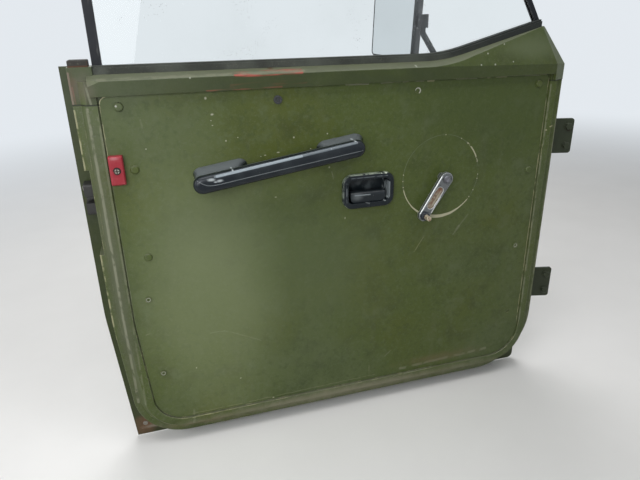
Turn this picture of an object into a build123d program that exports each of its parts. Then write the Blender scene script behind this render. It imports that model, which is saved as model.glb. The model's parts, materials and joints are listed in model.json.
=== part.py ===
from build123d import *
import os
from math import cos, radians, sin, tan

# Left front door of a boxy 4x4 car, standing open, in millimetres.
# Origin: the centre of the upper hinge's two bolts, on the face that lies on the body pillar.
# +X runs along the door to its hinge edge, +Y to its outer side, +Z up.

# Hinges
open_angle = 75
jamb_ahead = 8
bolt_inboard = 56
bolt_spacing = 40
bolt_hole = 9
bolt_end = 12
leaf_sheet = 4.5
leaf_height = 73
hinge_spacing = 342
knuckle_radius = 8
pin_radius = 4
pin_clearance = 0.3
knuckle_gap = 0.4
knuckle_clearance = 3
door_leaf_reach = 31
door_bolt_radius = 6.5
door_bolt_height = 4

# Door body: margins are measured outwards from the edge of the trim panel
trim_width = 800
trim_height = 608
trim_sheet = 1.5
trim_corner = 12
trim_gap = 2
rear_corner = 58
front_corner = 64
slant_start = 390
slant_angle = 4.3
slant_blend = 500
rim_margin = 17
rim_foot = 26
rim_proud = 3
landing_depth = 9
landing_margin = 38
landing_corner = 126
pan_sheet = 1.5
floor_sheet = 2
pan_top_drop = 12
skin_depth = 49
skin_sheet = 1.2
flange_rear = 15
flange_bottom = 21
axis_ahead = 12
axis_outboard = 12
upper_hinge_drop = 134
skin_corner = 12
waist_drop = 230
waist_height = 46
waist_rise = 6
waist_taper = 45

# Belt line, from the trim panel's top edge
belt_height = 30.5
kick_start = 218
kick_angle = 15
kick_radius = 300
kick_lead = 30
nose_setback = 14
nose_corner_radius = 8
nose_lean = 37
pillar_lean = 31.5
rail_proud = 8
rail_rear_setback = 12
rail_front_reach = 8
bevel_drop = 13
rail_tip_low = 15
rail_tip_length = 18
rail_tip_depth = 12
rail_fold = 22
rail_nose_fold = 18
corner_rise = 11.5

# Window
window_height = 501
frame_bar = 14
front_bar = 9
rear_bar_inset = 9
frame_depth = 12
glass_depth = 30
glass_sheet = 4
glass_bite = 5
glass_bottom = 8
run_wall = 2
slot_clearance = 4.5
seal_height = 12.5
outer_seal_height = 9
seal_front = 12
seal_step = 3
seal_gap = 0.3
end_block_width = 28
end_block_depth = 26
end_block_height = 10
end_block_inset = 2
end_block_forward = 5
end_block_edge = 2

# Pull handle
pull_x = 532
pull_drop = 121
pull_tilt = 8.2
pull_length = 294
pull_height = 30
pull_thick = 18
pull_standoff = 30
pull_edge = 9
pull_back_edge = 4
foot_top_length = 68
foot_top_height = 20
foot_inset = 4

# Release recess
release_x = 365.5
release_drop = 189
release_width = 99
release_height = 64
release_corner = 18
release_proud = 9
release_wall = 10
release_pocket = 24
release_edge = 3
pocket_corner = 8
seat_fit = 0.3
lever_height = 20
lever_sheet = 5
lever_hook = 8
lever_side_gap = 6

# Window crank
crank_x = 215.4
crank_drop = 178.7
crank_angle = 32.5
crank_throw = 79
crank_hub_radius = 13
crank_end_radius = 11
crank_boss_radius = 8
spindle_radius = 6
crank_boss_height = 15
crank_arm_thick = 7
crank_slot_length = 46
crank_slot_width = 14
crank_slot_depth = 2
crank_edge = 1.2
knob_radius = 8.5
knob_height = 7
knob_taper = 8
knob_pin_radius = 4.5
knob_pin_length = 14
knob_pin_edge = 1
hub_screw_radius = 6.5
hub_screw_height = 2
hub_screw_edge = 0.6
hub_socket_radius = 3

# Reflector, plugs and screws
reflector_width = 22
reflector_height = 46.5
reflector_thick = 10
reflector_drop = 89.5
reflector_edge = 2
reflector_screw_radius = 4.5
plug_radius = 7
plug_height = 3
plug_edge = 2.4
screw_radius = 5.5
screw_height = 2
open_hole_radius = 3.5
open_hole_x = 28
open_hole_rise = 104.6
top_plug_x = 526
top_plug_drop = 19
top_plug_recess = 4.2
hole_x = 272.7
hole_drop = 17.7
hole_radius = 4

# Latch
latch_drop = 136
latch_height = 51
notch_drop = 112
notch_height = 144
notch_depth = 7
latch_case_depth = 30
latch_case_thick = 14
latch_corner = 4
latch_inset = 5
latch_mouth = 12
latch_mouth_depth = 18
claw_radius = 11
claw_sheet = 3
rivet_radius = 4.5
rivet_height = 1.5
rivet_outward = 15
rivet_below = 33

# Outer handle
grip_inset = 80
grip_drop = 62
grip_length = 132
grip_height = 20
grip_thick = 11
grip_standoff = 27
grip_foot = 18
grip_corner = 4.5
grip_edge = 3.5
handle_plate_length = 178
handle_plate_height = 34
handle_plate_sheet = 3
button_radius = 11
button_length = 14
button_edge = 2
button_shift = 68
grip_shift = 18
lock_radius = 6
lock_height = 2
key_slot = 7

# Outer mirror
mirror_x = 250
mirror_out = 168
mirror_yaw = 20
mirror_roll = 3.6
mirror_width = 122
mirror_height = 180
mirror_bottom = 25
mirror_depth = 26
mirror_rim = 6
mirror_glass_sheet = 2
mirror_corner = 12
mirror_taper = 12
arm_radius = 5.5
arm_bend = 14
arm_top = 108
arm_elbow = 75
clamp_radius = 10
clamp_height = 24
clamp_reach = 7
bracket_x = 172
bracket_drop = 5
bracket_width = 44
bracket_height = 52
bracket_sheet = 4
bracket_corner = 6
bracket_boss_radius = 9
bracket_boss_length = 12

# Places worked out from the sizes
turn = radians(open_angle)
axis_x = -(jamb_ahead * cos(turn) + bolt_inboard * sin(turn))
axis_y = -(jamb_ahead * sin(turn) - bolt_inboard * cos(turn))
skin_face = skin_depth + skin_sheet
door_x = axis_x - landing_margin - axis_ahead
door_y = axis_y - skin_face - axis_outboard
door_z = upper_hinge_drop
slant = tan(radians(slant_angle))
kick = tan(radians(kick_angle))
lean = tan(radians(pillar_lean))
lean_cos = cos(radians(pillar_lean))
edge_lean = tan(radians(nose_lean))
nose_x = -nose_setback
nose_z = belt_height + kick * (kick_start - nose_setback)
rail_rear = -trim_width - rail_rear_setback
door_rear = -trim_width - landing_margin
corner_top = belt_height + corner_rise
bar_front = glass_depth - frame_depth / 2
bar_back = glass_depth + frame_depth / 2
rear_bar_out = rail_rear + rear_bar_inset
rear_bar_in = rear_bar_out + frame_bar
seal_face = bar_front - seal_front
shelf_depth = seal_face + rail_proud
nose_foot_z = nose_z - (landing_margin - nose_x) / edge_lean
grip_x = trim_width - grip_inset

os.makedirs("parts", exist_ok=True)


def facing(depth):
    """Plane parallel to the trim panel, this far outboard of its face, seen from the cabin."""
    return Plane(origin=(door_x, door_y + depth, door_z), x_dir=(1, 0, 0), z_dir=(0, -1, 0))


def level(height):
    """Horizontal plane this far above the trim panel's top edge, with its y outboard."""
    return Plane(origin=(door_x, door_y, door_z + height), x_dir=(1, 0, 0), z_dir=(0, 0, 1))


def across(x):
    """Upright plane square to the door's width, with its x outboard and its y up."""
    return Plane(origin=(door_x + x, door_y, door_z), x_dir=(0, 1, 0), z_dir=(1, 0, 0))


def outline(corners):
    """Closed outline from rows of (x, z, corner radius)."""
    Polygon(*[(x, z) for x, z, radius in corners], align=None)
    for x, z, radius in corners:
        if radius > 0:
            fillet(vertices().sort_by_distance((x, z))[0], radius)


def panel_outline(rear, bottom, front, top, rear_radius, front_radius):
    """Outline of a door layer, given by its margins round the trim panel and its top height."""
    rear_x = -trim_width - rear
    bottom_z = -trim_height - bottom
    run = (-slant_start - bottom_z) * slant
    outline([
        (rear_x, top, 0),
        (rear_x, -slant_start, slant_blend),
        (rear_x + run, bottom_z, rear_radius),
        (front, bottom_z, front_radius),
        (front, top, 0),
    ])


def even_outline(margin, top):
    """Panel outline with the same margin all round and round lower corners."""
    panel_outline(margin, margin, margin, top, rear_corner + margin, front_corner + margin)


def landing_outline(inset, top):
    """Outline of the pan's outer edge, with its wide front corner, inset all round."""
    margin = landing_margin - inset
    panel_outline(margin, margin, margin, top, rear_corner + margin, landing_corner - inset)


def nose_edge(z, inset=0):
    """X of the front post's outer edge at height z, inset square to that edge."""
    return nose_x - (z - nose_z) * lean - inset / lean_cos


def cutting_plane(first, second, third):
    """Plane through three points (x, depth, z) of the door, facing the side that is cut away."""
    points = [Vector(door_x + x, door_y + depth, door_z + z) for x, depth, z in (first, second, third)]
    along = (points[1] - points[0]).normalized()
    away = along.cross(points[2] - points[0]).normalized()
    return Plane(origin=points[0], x_dir=along, z_dir=away)


def belt_outline(rear_x, front_x, low, high):
    """Strip along the belt line, from low to high above it."""
    rise = kick * (kick_start + front_x)
    outline([
        (rear_x, belt_height + low, 0),
        (-kick_start, belt_height + low, kick_radius),
        (front_x, belt_height + low + rise, 0),
        (front_x, belt_height + high + rise, 0),
        (-kick_start, belt_height + high, kick_radius),
        (rear_x, belt_height + high, 0),
    ])


def save(piece, name):
    """Label a finished piece and write it."""
    piece.label = name
    export_step(piece, "parts/" + name + ".step")


# Inner pan: pressed tray with a raised rim round the trim panel and a flat landing for the seal
cavity_depth = landing_depth + pan_sheet
floor_back = trim_sheet + floor_sheet
notch_face = -trim_width - landing_margin + notch_depth
notch_bottom = -notch_drop - notch_height
recess_width = release_width - 2 * release_wall + 2 * pan_sheet
recess_height = release_height - 2 * release_wall + 2 * pan_sheet

with BuildPart() as inner_pan:
    with BuildSketch(facing(skin_depth)):
        landing_outline(0, -pan_top_drop)
    extrude(amount=skin_depth - landing_depth)
    fillet(inner_pan.faces().sort_by(Axis.Y)[0].outer_wire().edges().sort_by(Axis.Z)[:-1], pan_sheet)
    with BuildSketch(facing(landing_depth)):
        even_outline(rim_foot, -pan_top_drop)
    with BuildSketch(facing(-rim_proud)):
        even_outline(rim_margin, -pan_top_drop)
    loft(ruled=True)
    with BuildSketch(facing(trim_sheet)):
        even_outline(trim_gap, 0)
    extrude(amount=trim_sheet + rim_proud, mode=Mode.SUBTRACT)
    with BuildSketch(facing(skin_depth)):
        landing_outline(pan_sheet, 0)
    extrude(amount=skin_depth - cavity_depth, mode=Mode.SUBTRACT)
    with BuildSketch(facing(cavity_depth)):
        even_outline(-trim_gap, 0)
    extrude(amount=cavity_depth - floor_back, mode=Mode.SUBTRACT)
    with BuildSketch(level(notch_bottom - pan_sheet)):
        with Locations(((door_rear + notch_face + pan_sheet) / 2, (landing_depth + skin_depth) / 2)):
            Rectangle(notch_depth + pan_sheet, skin_depth - landing_depth)
    extrude(amount=notch_height + 2 * pan_sheet)
    with BuildSketch(level(notch_bottom)):
        with Locations(((door_rear + notch_face) / 2, (landing_depth + skin_depth) / 2)):
            Rectangle(notch_depth, skin_depth - landing_depth)
    extrude(amount=notch_height, mode=Mode.SUBTRACT)
    with BuildSketch(facing(floor_back)):
        with Locations((-release_x, -release_drop)):
            Rectangle(recess_width, recess_height)
        with Locations((-crank_x, -crank_drop)):
            Circle(spindle_radius + seat_fit)
    extrude(amount=floor_sheet, mode=Mode.SUBTRACT)
save(inner_pan.part, "inner_pan")

# Outer skin: flat sheet with a square lower rear corner and a pressed waist line
with BuildPart() as outer_skin:
    with BuildSketch(facing(skin_face)):
        rear_x = -trim_width - landing_margin - flange_rear
        bottom_z = -trim_height - landing_margin - flange_bottom
        outline([
            (rear_x, corner_top, 0),
            (rear_x, -slant_start, slant_blend),
            (rear_x + (-slant_start - bottom_z) * slant, bottom_z, 0),
            (landing_margin, bottom_z, skin_corner),
            (landing_margin, nose_foot_z, 0),
            (nose_x, nose_z, nose_corner_radius),
            (-kick_start, belt_height, kick_radius),
            (rear_bar_out, belt_height, 0),
            (rear_bar_out, corner_top, 0),
        ])
    extrude(amount=skin_sheet)
    waist_length = trim_width + landing_margin
    with BuildSketch(Plane(facing(skin_face).origin, x_dir=(-1, 0, 0), z_dir=(0, 1, 0))):
        with Locations((trim_width / 2, -waist_drop)):
            Rectangle(waist_length, waist_height)
    extrude(amount=waist_rise, taper=waist_taper)
    with BuildSketch(Plane(facing(skin_depth).origin, x_dir=(-1, 0, 0), z_dir=(0, 1, 0))):
        with Locations((trim_width / 2, -waist_drop)):
            Rectangle(waist_length - 2 * skin_sheet, waist_height - 2 * skin_sheet)
    extrude(amount=waist_rise, taper=waist_taper, mode=Mode.SUBTRACT)
save(outer_skin.part, "outer_skin")

# Belt rail: box section over the pan, with the trim rail, the shelf and the raised nose
slot_front = glass_depth - slot_clearance
slot_back = glass_depth + slot_clearance
slot_rear_x = rear_bar_in - glass_bite - slot_clearance
glass_front_inset = front_bar - glass_bite
slot_front_x = nose_x - glass_front_inset / lean_cos + run_wall + seal_gap
with BuildPart() as belt_rail:
    with BuildSketch(facing(skin_depth)):
        outline([
            (rail_rear, belt_height, 0),
            (rail_rear, 0, 0),
            (rail_front_reach, 0, 0),
            (rail_front_reach, -pan_top_drop, 0),
            (landing_margin, -pan_top_drop, 0),
            (landing_margin, nose_foot_z, 0),
            (nose_x, nose_z, 0),
            (-kick_start, belt_height, kick_radius),
        ])
    extrude(amount=skin_depth + rail_proud)
    rail_face = belt_rail.faces().sort_by(Axis.Y)[0]
    shelf_edges = rail_face.edges().filter_by(
        lambda edge: edge.center().Z > door_z + rail_fold and abs(edge.tangent_at(0.5).X) > lean_cos
    )
    chamfer(shelf_edges, length=belt_height - rail_fold, length2=shelf_depth, reference=rail_face)
    fold_start = (-kick_start - kick_lead, -rail_proud, rail_fold)
    fold_end = (rail_front_reach, -rail_proud, rail_nose_fold)
    front_foot = (landing_margin, landing_depth, nose_foot_z)
    nose_plane = cutting_plane(fold_start, fold_end, (nose_x, seal_face, nose_z))
    end_plane = cutting_plane(
        (rail_front_reach, -rail_proud, 0),
        (landing_margin, landing_depth, 0),
        fold_end,
    )
    bevel_plane = cutting_plane(
        fold_end,
        front_foot,
        (nose_x, seal_face - bevel_drop * shelf_depth / nose_z, nose_z - bevel_drop),
    )
    tip_plane = cutting_plane(
        (rail_rear, -rail_proud, rail_tip_low),
        (rail_rear + rail_tip_length, -rail_proud, rail_fold),
        (rail_rear, rail_tip_depth - rail_proud, belt_height),
    )
    for cut in (nose_plane, end_plane, bevel_plane, tip_plane):
        with BuildSketch(cut):
            Rectangle(2 * trim_width, 2 * nose_z)
        extrude(amount=nose_z, mode=Mode.SUBTRACT)
    fillet(belt_rail.edges().filter_by(Axis.Y).sort_by(Axis.Z)[-1], nose_corner_radius)
    with BuildSketch(facing(skin_depth)):
        outline([
            (door_rear, corner_top, 0),
            (door_rear, -pan_top_drop, 0),
            (landing_margin, -pan_top_drop, 0),
            (landing_margin, nose_foot_z, 0),
            (rail_front_reach, nose_foot_z, 0),
            (rail_front_reach, 0, 0),
            (rear_bar_out, 0, 0),
            (rear_bar_out, corner_top, 0),
        ])
    extrude(amount=skin_depth - landing_depth)
    with BuildSketch(level(-pan_top_drop)):
        with BuildLine():
            Polyline(
                (-trim_width - rim_foot, landing_depth),
                (-trim_width - rim_margin, -rim_proud),
                (-trim_width - trim_gap, -rim_proud),
                (-trim_width - trim_gap, trim_sheet),
                (trim_gap, trim_sheet),
                (trim_gap, -rim_proud),
                (rim_margin, -rim_proud),
                (rim_foot, landing_depth),
                close=True,
            )
        make_face()
    extrude(amount=pan_top_drop)
    with BuildSketch(level(0)):
        with BuildLine():
            Polyline(
                (-trim_width - rim_foot, landing_depth),
                (-trim_width - rim_margin, -rim_proud),
                (-trim_width, -rim_proud),
                (-trim_width, landing_depth),
                close=True,
            )
        make_face()
    extrude(amount=rail_fold)
    with BuildSketch(facing(slot_back)):
        outline([
            (slot_rear_x, -pan_top_drop, 0),
            (slot_front_x, -pan_top_drop, 0),
            (slot_front_x, nose_z + seal_height, 0),
            (slot_rear_x, nose_z + seal_height, 0),
        ])
    extrude(amount=slot_back - slot_front, mode=Mode.SUBTRACT)
save(belt_rail.part, "belt_rail")

# Trim panel: flat painted sheet with round upper corners, cut out for the release and the crank
with BuildPart() as trim_panel:
    with BuildSketch(facing(trim_sheet)):
        panel_outline(0, 0, 0, 0, rear_corner, front_corner)
        fillet(vertices().sort_by(Axis.Y)[-2:], trim_corner)
        with Locations((-release_x, -release_drop)):
            Rectangle(recess_width, recess_height, mode=Mode.SUBTRACT)
        with Locations((-crank_x, -crank_drop)):
            Circle(spindle_radius + seat_fit, mode=Mode.SUBTRACT)
        with Locations((-open_hole_x, open_hole_rise - trim_height)):
            Circle(open_hole_radius, mode=Mode.SUBTRACT)
        with Locations((-hole_x, -hole_drop)):
            Circle(hole_radius, mode=Mode.SUBTRACT)
    extrude(amount=trim_sheet)
save(trim_panel.part, "trim_panel")

# Domed plastic plugs, by the panel edge that they follow, their distance from it and their drop
rear_edge = -trim_width
front_edge = 0
plug_places = [
    (rear_edge, 27, 16.5),
    (rear_edge, 37, 115),
    (rear_edge, 38, 267),
    (front_edge, -21.5, 17),
    (front_edge, -21, 183),
]
with BuildPart() as trim_plugs:
    for edge_x, inset, drop in plug_places:
        with BuildSketch(facing(0)):
            with Locations((edge_x + inset, -drop)):
                Circle(plug_radius)
        extrude(amount=plug_height)
    fillet(trim_plugs.faces().group_by(Axis.Y)[0].edges(), plug_edge)
save(trim_plugs.part, "trim_plugs")

# Ring-headed screws, by the panel edge that they follow, their distance from it and from the foot
screw_places = [
    (rear_edge, 28, 262),
    (rear_edge, 35, 108),
    (front_edge, -30, 263),
]
with BuildPart() as trim_screws:
    for edge_x, inset, rise in screw_places:
        screw_spot = (edge_x + inset, rise - trim_height)
        with BuildSketch(facing(0)):
            with Locations(screw_spot):
                Circle(screw_radius)
        extrude(amount=screw_height)
        with BuildSketch(facing(-screw_height)):
            with Locations(screw_spot):
                Circle(screw_radius / 2)
        extrude(amount=-screw_height / 2, mode=Mode.SUBTRACT)
save(trim_screws.part, "trim_screws")

# Dark rubber plug at the trim panel's top edge
with BuildPart() as top_plug:
    with BuildSketch(facing(0)):
        with Locations((-top_plug_x, -top_plug_drop)):
            Circle(plug_radius)
    extrude(amount=plug_height)
    with BuildSketch(facing(-plug_height)):
        with Locations((-top_plug_x, -top_plug_drop)):
            Circle(top_plug_recess)
    extrude(amount=-plug_height / 2, mode=Mode.SUBTRACT)
save(top_plug.part, "top_plug")

# Window frame: three mitred steel channels that open towards the glass
header_in = belt_height + window_height
header_out = header_in + frame_bar
slot_bite = glass_bite + run_wall
glass_slot = glass_sheet + 2 * run_wall


def front_bar_foot(inset):
    """Point where a line parallel to the nose edge, inset from it, meets the sloping belt line."""
    x = (nose_x + (nose_z - belt_height - kick * kick_start) * lean - inset / lean_cos) / (1 + kick * lean)
    return x, belt_height + kick * (x + kick_start)


foot_out = front_bar_foot(0)
foot_in = front_bar_foot(front_bar)
bars = {
    "window_rear_post": [
        (rear_bar_out, belt_height),
        (rear_bar_in, belt_height),
        (rear_bar_in, header_in),
        (rear_bar_out, header_out),
    ],
    "window_header": [
        (rear_bar_out, header_out),
        (rear_bar_in, header_in),
        (nose_edge(header_in, front_bar), header_in),
        (nose_edge(header_out), header_out),
    ],
    "window_front_post": [
        foot_out,
        (nose_edge(header_out), header_out),
        (nose_edge(header_in, front_bar), header_in),
        foot_in,
    ],
}
glass_rear = rear_bar_in - glass_bite
glass_top = header_in + glass_bite


def glass_outline(margin):
    """Outline of the window glass, grown by a margin."""
    front_x = nose_edge(nose_z, glass_front_inset) + margin
    outline([
        (glass_rear - margin, glass_bottom - margin, 0),
        (front_x, glass_bottom - margin, 0),
        (front_x, nose_z, 0),
        (nose_edge(glass_top + margin, glass_front_inset - margin), glass_top + margin, 0),
        (glass_rear - margin, glass_top + margin, 0),
    ])


for name, points in bars.items():
    with BuildPart() as bar:
        with BuildSketch(facing(bar_back)):
            Polygon(*points, align=None)
        extrude(amount=frame_depth)
        with BuildSketch(facing(glass_depth + glass_slot / 2)):
            glass_outline(run_wall)
        extrude(amount=glass_slot, mode=Mode.SUBTRACT)
    save(bar.part, name)

# Glass run: rubber channel pressed into the frame, round the edge of the glass
with BuildPart() as glass_run:
    with BuildSketch(facing(glass_depth + glass_slot / 2)):
        glass_outline(run_wall)
        with BuildLine():
            Polyline(
                foot_in,
                (nose_edge(header_in, front_bar), header_in),
                (rear_bar_in, header_in),
                (rear_bar_in, glass_bottom - slot_bite),
                (nose_x, glass_bottom - slot_bite),
                close=True,
            )
        make_face(mode=Mode.SUBTRACT)
    extrude(amount=glass_slot)
    with BuildSketch(facing(glass_depth + glass_sheet / 2)):
        glass_outline(0)
    extrude(amount=glass_sheet, mode=Mode.SUBTRACT)
save(glass_run.part, "glass_run_seal")

# Window glass, wound up, with its lower edge down inside the belt rail
with BuildPart() as window_glass:
    with BuildSketch(facing(glass_depth + glass_sheet / 2)):
        glass_outline(0)
    extrude(amount=glass_sheet)
save(window_glass.part, "window_glass")

# Belt weatherstrips: rubber strips on the belt line with a lip against each side of the glass
strip_front_x = nose_edge(nose_z + seal_height) - seal_gap
lip_front_x = nose_edge(foot_in[1] + seal_height, front_bar) - seal_gap
lip_rear_x = rear_bar_in + seal_gap
glass_in = glass_depth - glass_sheet / 2
glass_out = glass_depth + glass_sheet / 2
outer_face = bar_back + seal_front
strips = {
    "belt_seal_inner": (seal_face, seal_face + seal_step, bar_front, glass_in - seal_gap, seal_height),
    "belt_seal_outer": (outer_face, outer_face - seal_step, bar_back, bar_back, outer_seal_height),
}
for name, (foot_face, top_face, strip_back, lip_depth, strip_height) in strips.items():
    with BuildPart() as strip:
        with BuildSketch(facing(strip_back)):
            belt_outline(rear_bar_out, strip_front_x, 0, strip_height - seal_step)
        extrude(amount=strip_back - foot_face)
        with BuildSketch(facing(strip_back)):
            belt_outline(rear_bar_out, strip_front_x, 0, strip_height)
        extrude(amount=strip_back - top_face)
        with BuildSketch(facing(lip_depth)):
            belt_outline(lip_rear_x, lip_front_x, 0, strip_height)
        extrude(amount=bar_back - glass_out - seal_gap)
    save(strip.part, name)

# End block of the window frame, on top of the door's rear corner
with BuildPart() as end_block:
    with BuildSketch(level(corner_top)):
        end_block_x = door_rear + end_block_inset + end_block_width / 2
        with Locations((end_block_x, glass_depth - end_block_forward)):
            Rectangle(end_block_width, end_block_depth)
    extrude(amount=end_block_height)
    fillet(end_block.faces().sort_by(Axis.Z)[-1].edges(), end_block_edge)
save(end_block.part, "belt_end_block")


def handle_face(depth):
    """Plane along the tilted pull handle, at a depth."""
    tilt = radians(pull_tilt)
    origin = facing(depth).from_local_coords(Vector(-pull_x, -pull_drop, 0))
    return Plane(origin=origin, x_dir=(cos(tilt), 0, sin(tilt)), z_dir=(0, -1, 0))


# Feet of the pull handle, by the end of the bar, the length and height of the foot on the trim panel,
# how far it reaches past the bar's end, and how far its middle stands above the bar's
foot_places = [
    (-1, 92, 27, -5, 9.5),
    (1, 88, 35, 12, 2.5),
]

# Pull handle: a round-edged bar carried on two flared feet, moulded in one
with BuildPart() as pull_handle:
    with BuildSketch(handle_face(-pull_standoff)):
        SlotOverall(pull_length, pull_height)
    extrude(amount=pull_thick)
    fillet(pull_handle.faces().sort_by(Axis.Y)[0].edges(), pull_edge)
    fillet(pull_handle.faces().sort_by(Axis.Y)[-1].edges(), pull_back_edge)
    for end, base_length, base_height, reach, rise in foot_places:
        with BuildSketch(handle_face(0)):
            with Locations((end * (pull_length / 2 + reach - base_length / 2), rise)):
                SlotOverall(base_length, base_height)
        with BuildSketch(handle_face(-pull_standoff - pull_thick / 2)):
            with Locations((end * (pull_length / 2 - foot_inset - foot_top_length / 2), 0)):
                SlotOverall(foot_top_length, foot_top_height)
        loft()
save(pull_handle.part, "pull_handle")


def release_face(depth):
    """Plane at the middle of the release recess, at a depth."""
    origin = facing(depth).from_local_coords(Vector(-release_x, -release_drop, 0))
    return Plane(origin=origin, x_dir=(1, 0, 0), z_dir=(0, -1, 0))


# Release bezel: moulded frame with a pocket that goes into the door
opening_width = release_width - 2 * release_wall
opening_height = release_height - 2 * release_wall
with BuildPart() as release_bezel:
    with BuildSketch(release_face(0)):
        RectangleRounded(release_width, release_height, release_corner)
    extrude(amount=release_proud)
    fillet(release_bezel.faces().sort_by(Axis.Y)[0].edges(), release_edge)
    with BuildSketch(release_face(release_pocket)):
        RectangleRounded(recess_width - 2 * seat_fit, recess_height - 2 * seat_fit, pocket_corner)
    extrude(amount=release_pocket)
    with BuildSketch(release_face(release_pocket - pan_sheet)):
        RectangleRounded(opening_width, opening_height, pocket_corner)
    extrude(amount=release_pocket + release_proud, mode=Mode.SUBTRACT)
save(release_bezel.part, "release_bezel")

# Release lever: curved flap across the lower half of the pocket, hooked at its upper edge
lever_width = opening_width - 2 * lever_side_gap
lever_foot = -release_drop - opening_height / 2 + seat_fit
lever_top = lever_foot + lever_height
with BuildPart() as release_lever:
    with BuildSketch(across(-release_x - lever_width / 2)):
        with BuildLine():
            Polyline((0, lever_foot), (-lever_sheet, lever_foot), (-lever_sheet, lever_top - lever_hook))
            RadiusArc(
                (-lever_sheet, lever_top - lever_hook),
                (lever_hook - lever_sheet, lever_top),
                lever_hook,
            )
            Polyline(
                (lever_hook - lever_sheet, lever_top),
                (lever_hook, lever_top),
                (lever_hook, lever_top - lever_sheet),
                (0, lever_top - lever_hook - lever_sheet),
                (0, lever_foot),
            )
        make_face()
    extrude(amount=lever_width)
    with BuildSketch(release_face(lever_hook)):
        RectangleRounded(lever_width, opening_height - 2 * seat_fit, pocket_corner)
    extrude(amount=lever_hook + lever_sheet, mode=Mode.INTERSECT)
save(release_lever.part, "release_lever")


def crank_face(depth):
    """Plane on the crank's spindle, at a depth, with its x along the arm."""
    swing = radians(crank_angle)
    origin = facing(depth).from_local_coords(Vector(-crank_x, -crank_drop, 0))
    return Plane(origin=origin, x_dir=(-sin(swing), 0, -cos(swing)), z_dir=(0, -1, 0))


# Window crank: forged arm on a splined spindle, with a slot in its face
arm_front = crank_boss_height + crank_arm_thick
slot_middle = (crank_hub_radius + crank_throw - crank_end_radius) / 2
with BuildPart() as crank_arm:
    with BuildSketch(crank_face(floor_back)):
        Circle(spindle_radius)
    extrude(amount=floor_back + crank_boss_height)
    with BuildSketch(crank_face(-seat_fit)):
        Circle(crank_boss_radius)
    extrude(amount=crank_boss_height - seat_fit)
    with BuildSketch(crank_face(-crank_boss_height)):
        Circle(crank_hub_radius)
        with Locations((crank_throw, 0)):
            Circle(crank_end_radius)
        make_hull()
    extrude(amount=crank_arm_thick)
    fillet(crank_arm.faces().sort_by(Axis.Y)[0].edges(), crank_edge)
    with BuildSketch(crank_face(-arm_front)):
        with Locations((slot_middle, 0)):
            SlotOverall(crank_slot_length, crank_slot_width)
    extrude(amount=-crank_slot_depth, mode=Mode.SUBTRACT)
save(crank_arm.part, "crank_arm")

# Strip let into the slot of the crank arm
with BuildPart() as crank_insert:
    with BuildSketch(crank_face(crank_slot_depth - arm_front)):
        with Locations((slot_middle, 0)):
            SlotOverall(crank_slot_length - 2 * seat_fit, crank_slot_width - 2 * seat_fit)
    extrude(amount=crank_slot_depth / 2)
save(crank_insert.part, "crank_insert")

# Screw in the middle of the crank's hub
with BuildPart() as crank_hub_screw:
    with BuildSketch(crank_face(-arm_front)):
        Circle(hub_screw_radius)
    extrude(amount=hub_screw_height)
    chamfer(crank_hub_screw.faces().sort_by(Axis.Y)[0].edges(), hub_screw_edge)
    with BuildSketch(crank_face(-arm_front - hub_screw_height)):
        RegularPolygon(hub_socket_radius, 6)
    extrude(amount=-hub_screw_height / 2, mode=Mode.SUBTRACT)
save(crank_hub_screw.part, "crank_hub_screw")

# What is left of the crank knob: its base and its bare pin
with BuildPart() as crank_knob_base:
    with BuildSketch(crank_face(-arm_front)):
        with Locations((crank_throw, 0)):
            Circle(knob_radius)
    extrude(amount=knob_height, taper=knob_taper)
save(crank_knob_base.part, "crank_knob_base")
with BuildPart() as crank_knob_pin:
    with BuildSketch(crank_face(-arm_front - knob_height)):
        with Locations((crank_throw, 0)):
            Circle(knob_pin_radius)
    extrude(amount=knob_pin_length)
    chamfer(crank_knob_pin.faces().sort_by(Axis.Y)[0].edges(), knob_pin_edge)
save(crank_knob_pin.part, "crank_knob_pin")

# Red reflector on the trim panel's rear edge, with its screw
reflector_x = -trim_width + reflector_width / 2
reflector_z = -reflector_drop - reflector_height / 2
with BuildPart() as reflector:
    with BuildSketch(facing(0)):
        with Locations((reflector_x, reflector_z)):
            RectangleRounded(reflector_width, reflector_height, reflector_edge)
    extrude(amount=reflector_thick)
    chamfer(reflector.faces().sort_by(Axis.Y)[0].edges(), reflector_edge)
save(reflector.part, "reflector")
with BuildPart() as reflector_screw:
    with BuildSketch(facing(-reflector_thick)):
        with Locations((reflector_x, reflector_z)):
            Circle(reflector_screw_radius)
    extrude(amount=screw_height)
save(reflector_screw.part, "reflector_screw")

# Door latch: case in the notch of the pan's rear edge, its mouth open to the cabin side
latch_z = -latch_drop - latch_height / 2
mouth_face = landing_depth + latch_inset
claw_middle = mouth_face + latch_mouth_depth - latch_mouth / 2


def latch_face(x):
    """Plane looking at the latch from behind the door, at x, with its x outboard."""
    return Plane(origin=across(x).origin, x_dir=(0, -1, 0), z_dir=(-1, 0, 0))


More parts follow.
